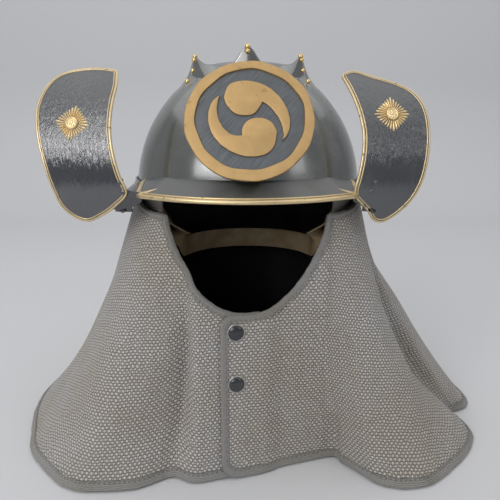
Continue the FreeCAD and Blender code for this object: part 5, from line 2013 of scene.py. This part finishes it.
@dataclass
class Studio:
    """The pale floor and backdrop, the soft lights and the camera."""

    place: Place
    camera_side: float = 0.002
    camera_back: float = 0.526
    camera_height: float = 0.326
    pitch: float = 14.36
    lens: float = 36.0

    def build(self) -> None:
        """Set up everything round the object."""
        self.floor()
        self.camera()
        self.lamps()
        bpy.context.scene.view_settings.view_transform = "Standard"

    def floor(self) -> None:
        """A pale floor that curves up into a backdrop."""
        turn = np.linspace(0, math.pi / 2, 16)
        line = [(-3.0, 0.0)] + [(1.1 + 0.5 * math.sin(t), 0.5 - 0.5 * math.cos(t)) for t in turn]
        line += [(1.6, 3.2)]
        sides = (-3.2, 3.2)
        verts = [(x, y, z) for y, z in line for x in sides]
        faces = [[2 * i, 2 * i + 1, 2 * i + 3, 2 * i + 2] for i in range(len(line) - 1)]
        data = bpy.data.meshes.new("floor")
        data.from_pydata(verts, [], faces)
        data.shade_smooth()
        floor = linked("floor", data)
        paper = bpy.data.materials.new("pale_paper")
        paper.use_nodes = True
        shader = paper.node_tree.nodes["Principled BSDF"]
        Nodes(paper.node_tree).fill(shader, {"Base Color": (0.62, 0.62, 0.63), "Roughness": 0.9})
        data.materials.append(paper)

    def camera(self) -> None:
        """The camera at the photograph's place and angle."""
        data = bpy.data.cameras.new("camera")
        data.lens, data.sensor_width = self.lens, 36.0
        camera = linked("camera", data)
        camera.location = (self.place.x + self.camera_side, self.place.y - self.camera_back,
                           self.camera_height)
        camera.rotation_euler = (math.radians(90 - self.pitch), 0, 0)
        bpy.context.scene.camera = camera

    def lamp(self, name: str, spot: Sequence[float], size: Sequence[float],
             radiance: float) -> None:
        """A soft rectangular lamp that faces the bowl."""
        data = bpy.data.lights.new(name, "AREA")
        data.shape, data.size, data.size_y = "RECTANGLE", size[0], size[1]
        data.energy = radiance * math.pi * size[0] * size[1]
        lamp = linked(name, data)
        lamp.location = spot
        aim = Vector((self.place.x, self.place.y, self.place.rim)) - Vector(spot)
        lamp.rotation_euler = aim.to_track_quat("-Z", "Y").to_euler()

    def lamps(self) -> None:
        """Soft lamps above and at both sides, and a dim even world."""
        self.lamp("ceiling", (0.0, 0.1, 1.9), (4.2, 3.4), 0.72)
        self.lamp("window_left", (-1.0, -1.35, 1.25), (0.55, 0.8), 5.5)
        self.lamp("window_front", (-1.1, -2.0, 1.05), (2.2, 0.6), 3.2)
        self.lamp("window_right", (1.3, -1.1, 1.0), (0.5, 0.7), 2.0)
        world = bpy.data.worlds.new("room")
        world.use_nodes = True
        light = world.node_tree.nodes["Background"].inputs
        light[0].default_value, light[1].default_value = (0.8, 0.82, 0.86, 1), 0.42
        bpy.context.scene.world = world


def main() -> None:
    """Build every sub-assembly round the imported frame."""
    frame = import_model()
    low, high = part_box("bowl_shell")
    place = Place((low.x + high.x) / 2, (low.y + high.y) / 2, low.z, (high.x - low.x) / 2)
    LOG.info("bowl's axis at %.4f, %.4f and rim at %.4f", place.x, place.y, place.rim)
    maker, wardrobe = Maker(place), Wardrobe()
    scatter = Scatter(maker)
    Studio(place).build()
    Bowl(maker, wardrobe, scatter).build()
    Visor(maker, wardrobe).build()
    Crest(maker, wardrobe).build()
    plates = [SidePlate(maker, wardrobe, shape) for shape in (LEFT_PLATE, RIGHT_PLATE)]
    for plate in plates:
        plate.build()
    NeckPlate(maker, wardrobe, scatter, plates).build()
    Inside(maker, wardrobe).build()
    cape = Cape(maker, wardrobe, scatter)
    cape.build()
    Snaps(maker, wardrobe, cape).build()
    kept = {"crest_bracket": "neck", "crest_bracket_rivets": "brass", "crest_socket": "brass",
            "crest_socket_rivets": "brass", "nape_strap_rivets": "brass", "snap_sockets": "steel",
            "snap_studs": "steel", "snap_posts": "steel"}
    for node, finish in kept.items():
        wardrobe.paint(frame["nodes"][node], finish)


if __name__ == "__main__":
    logging.basicConfig(level=logging.INFO, format="%(message)s")
    main()
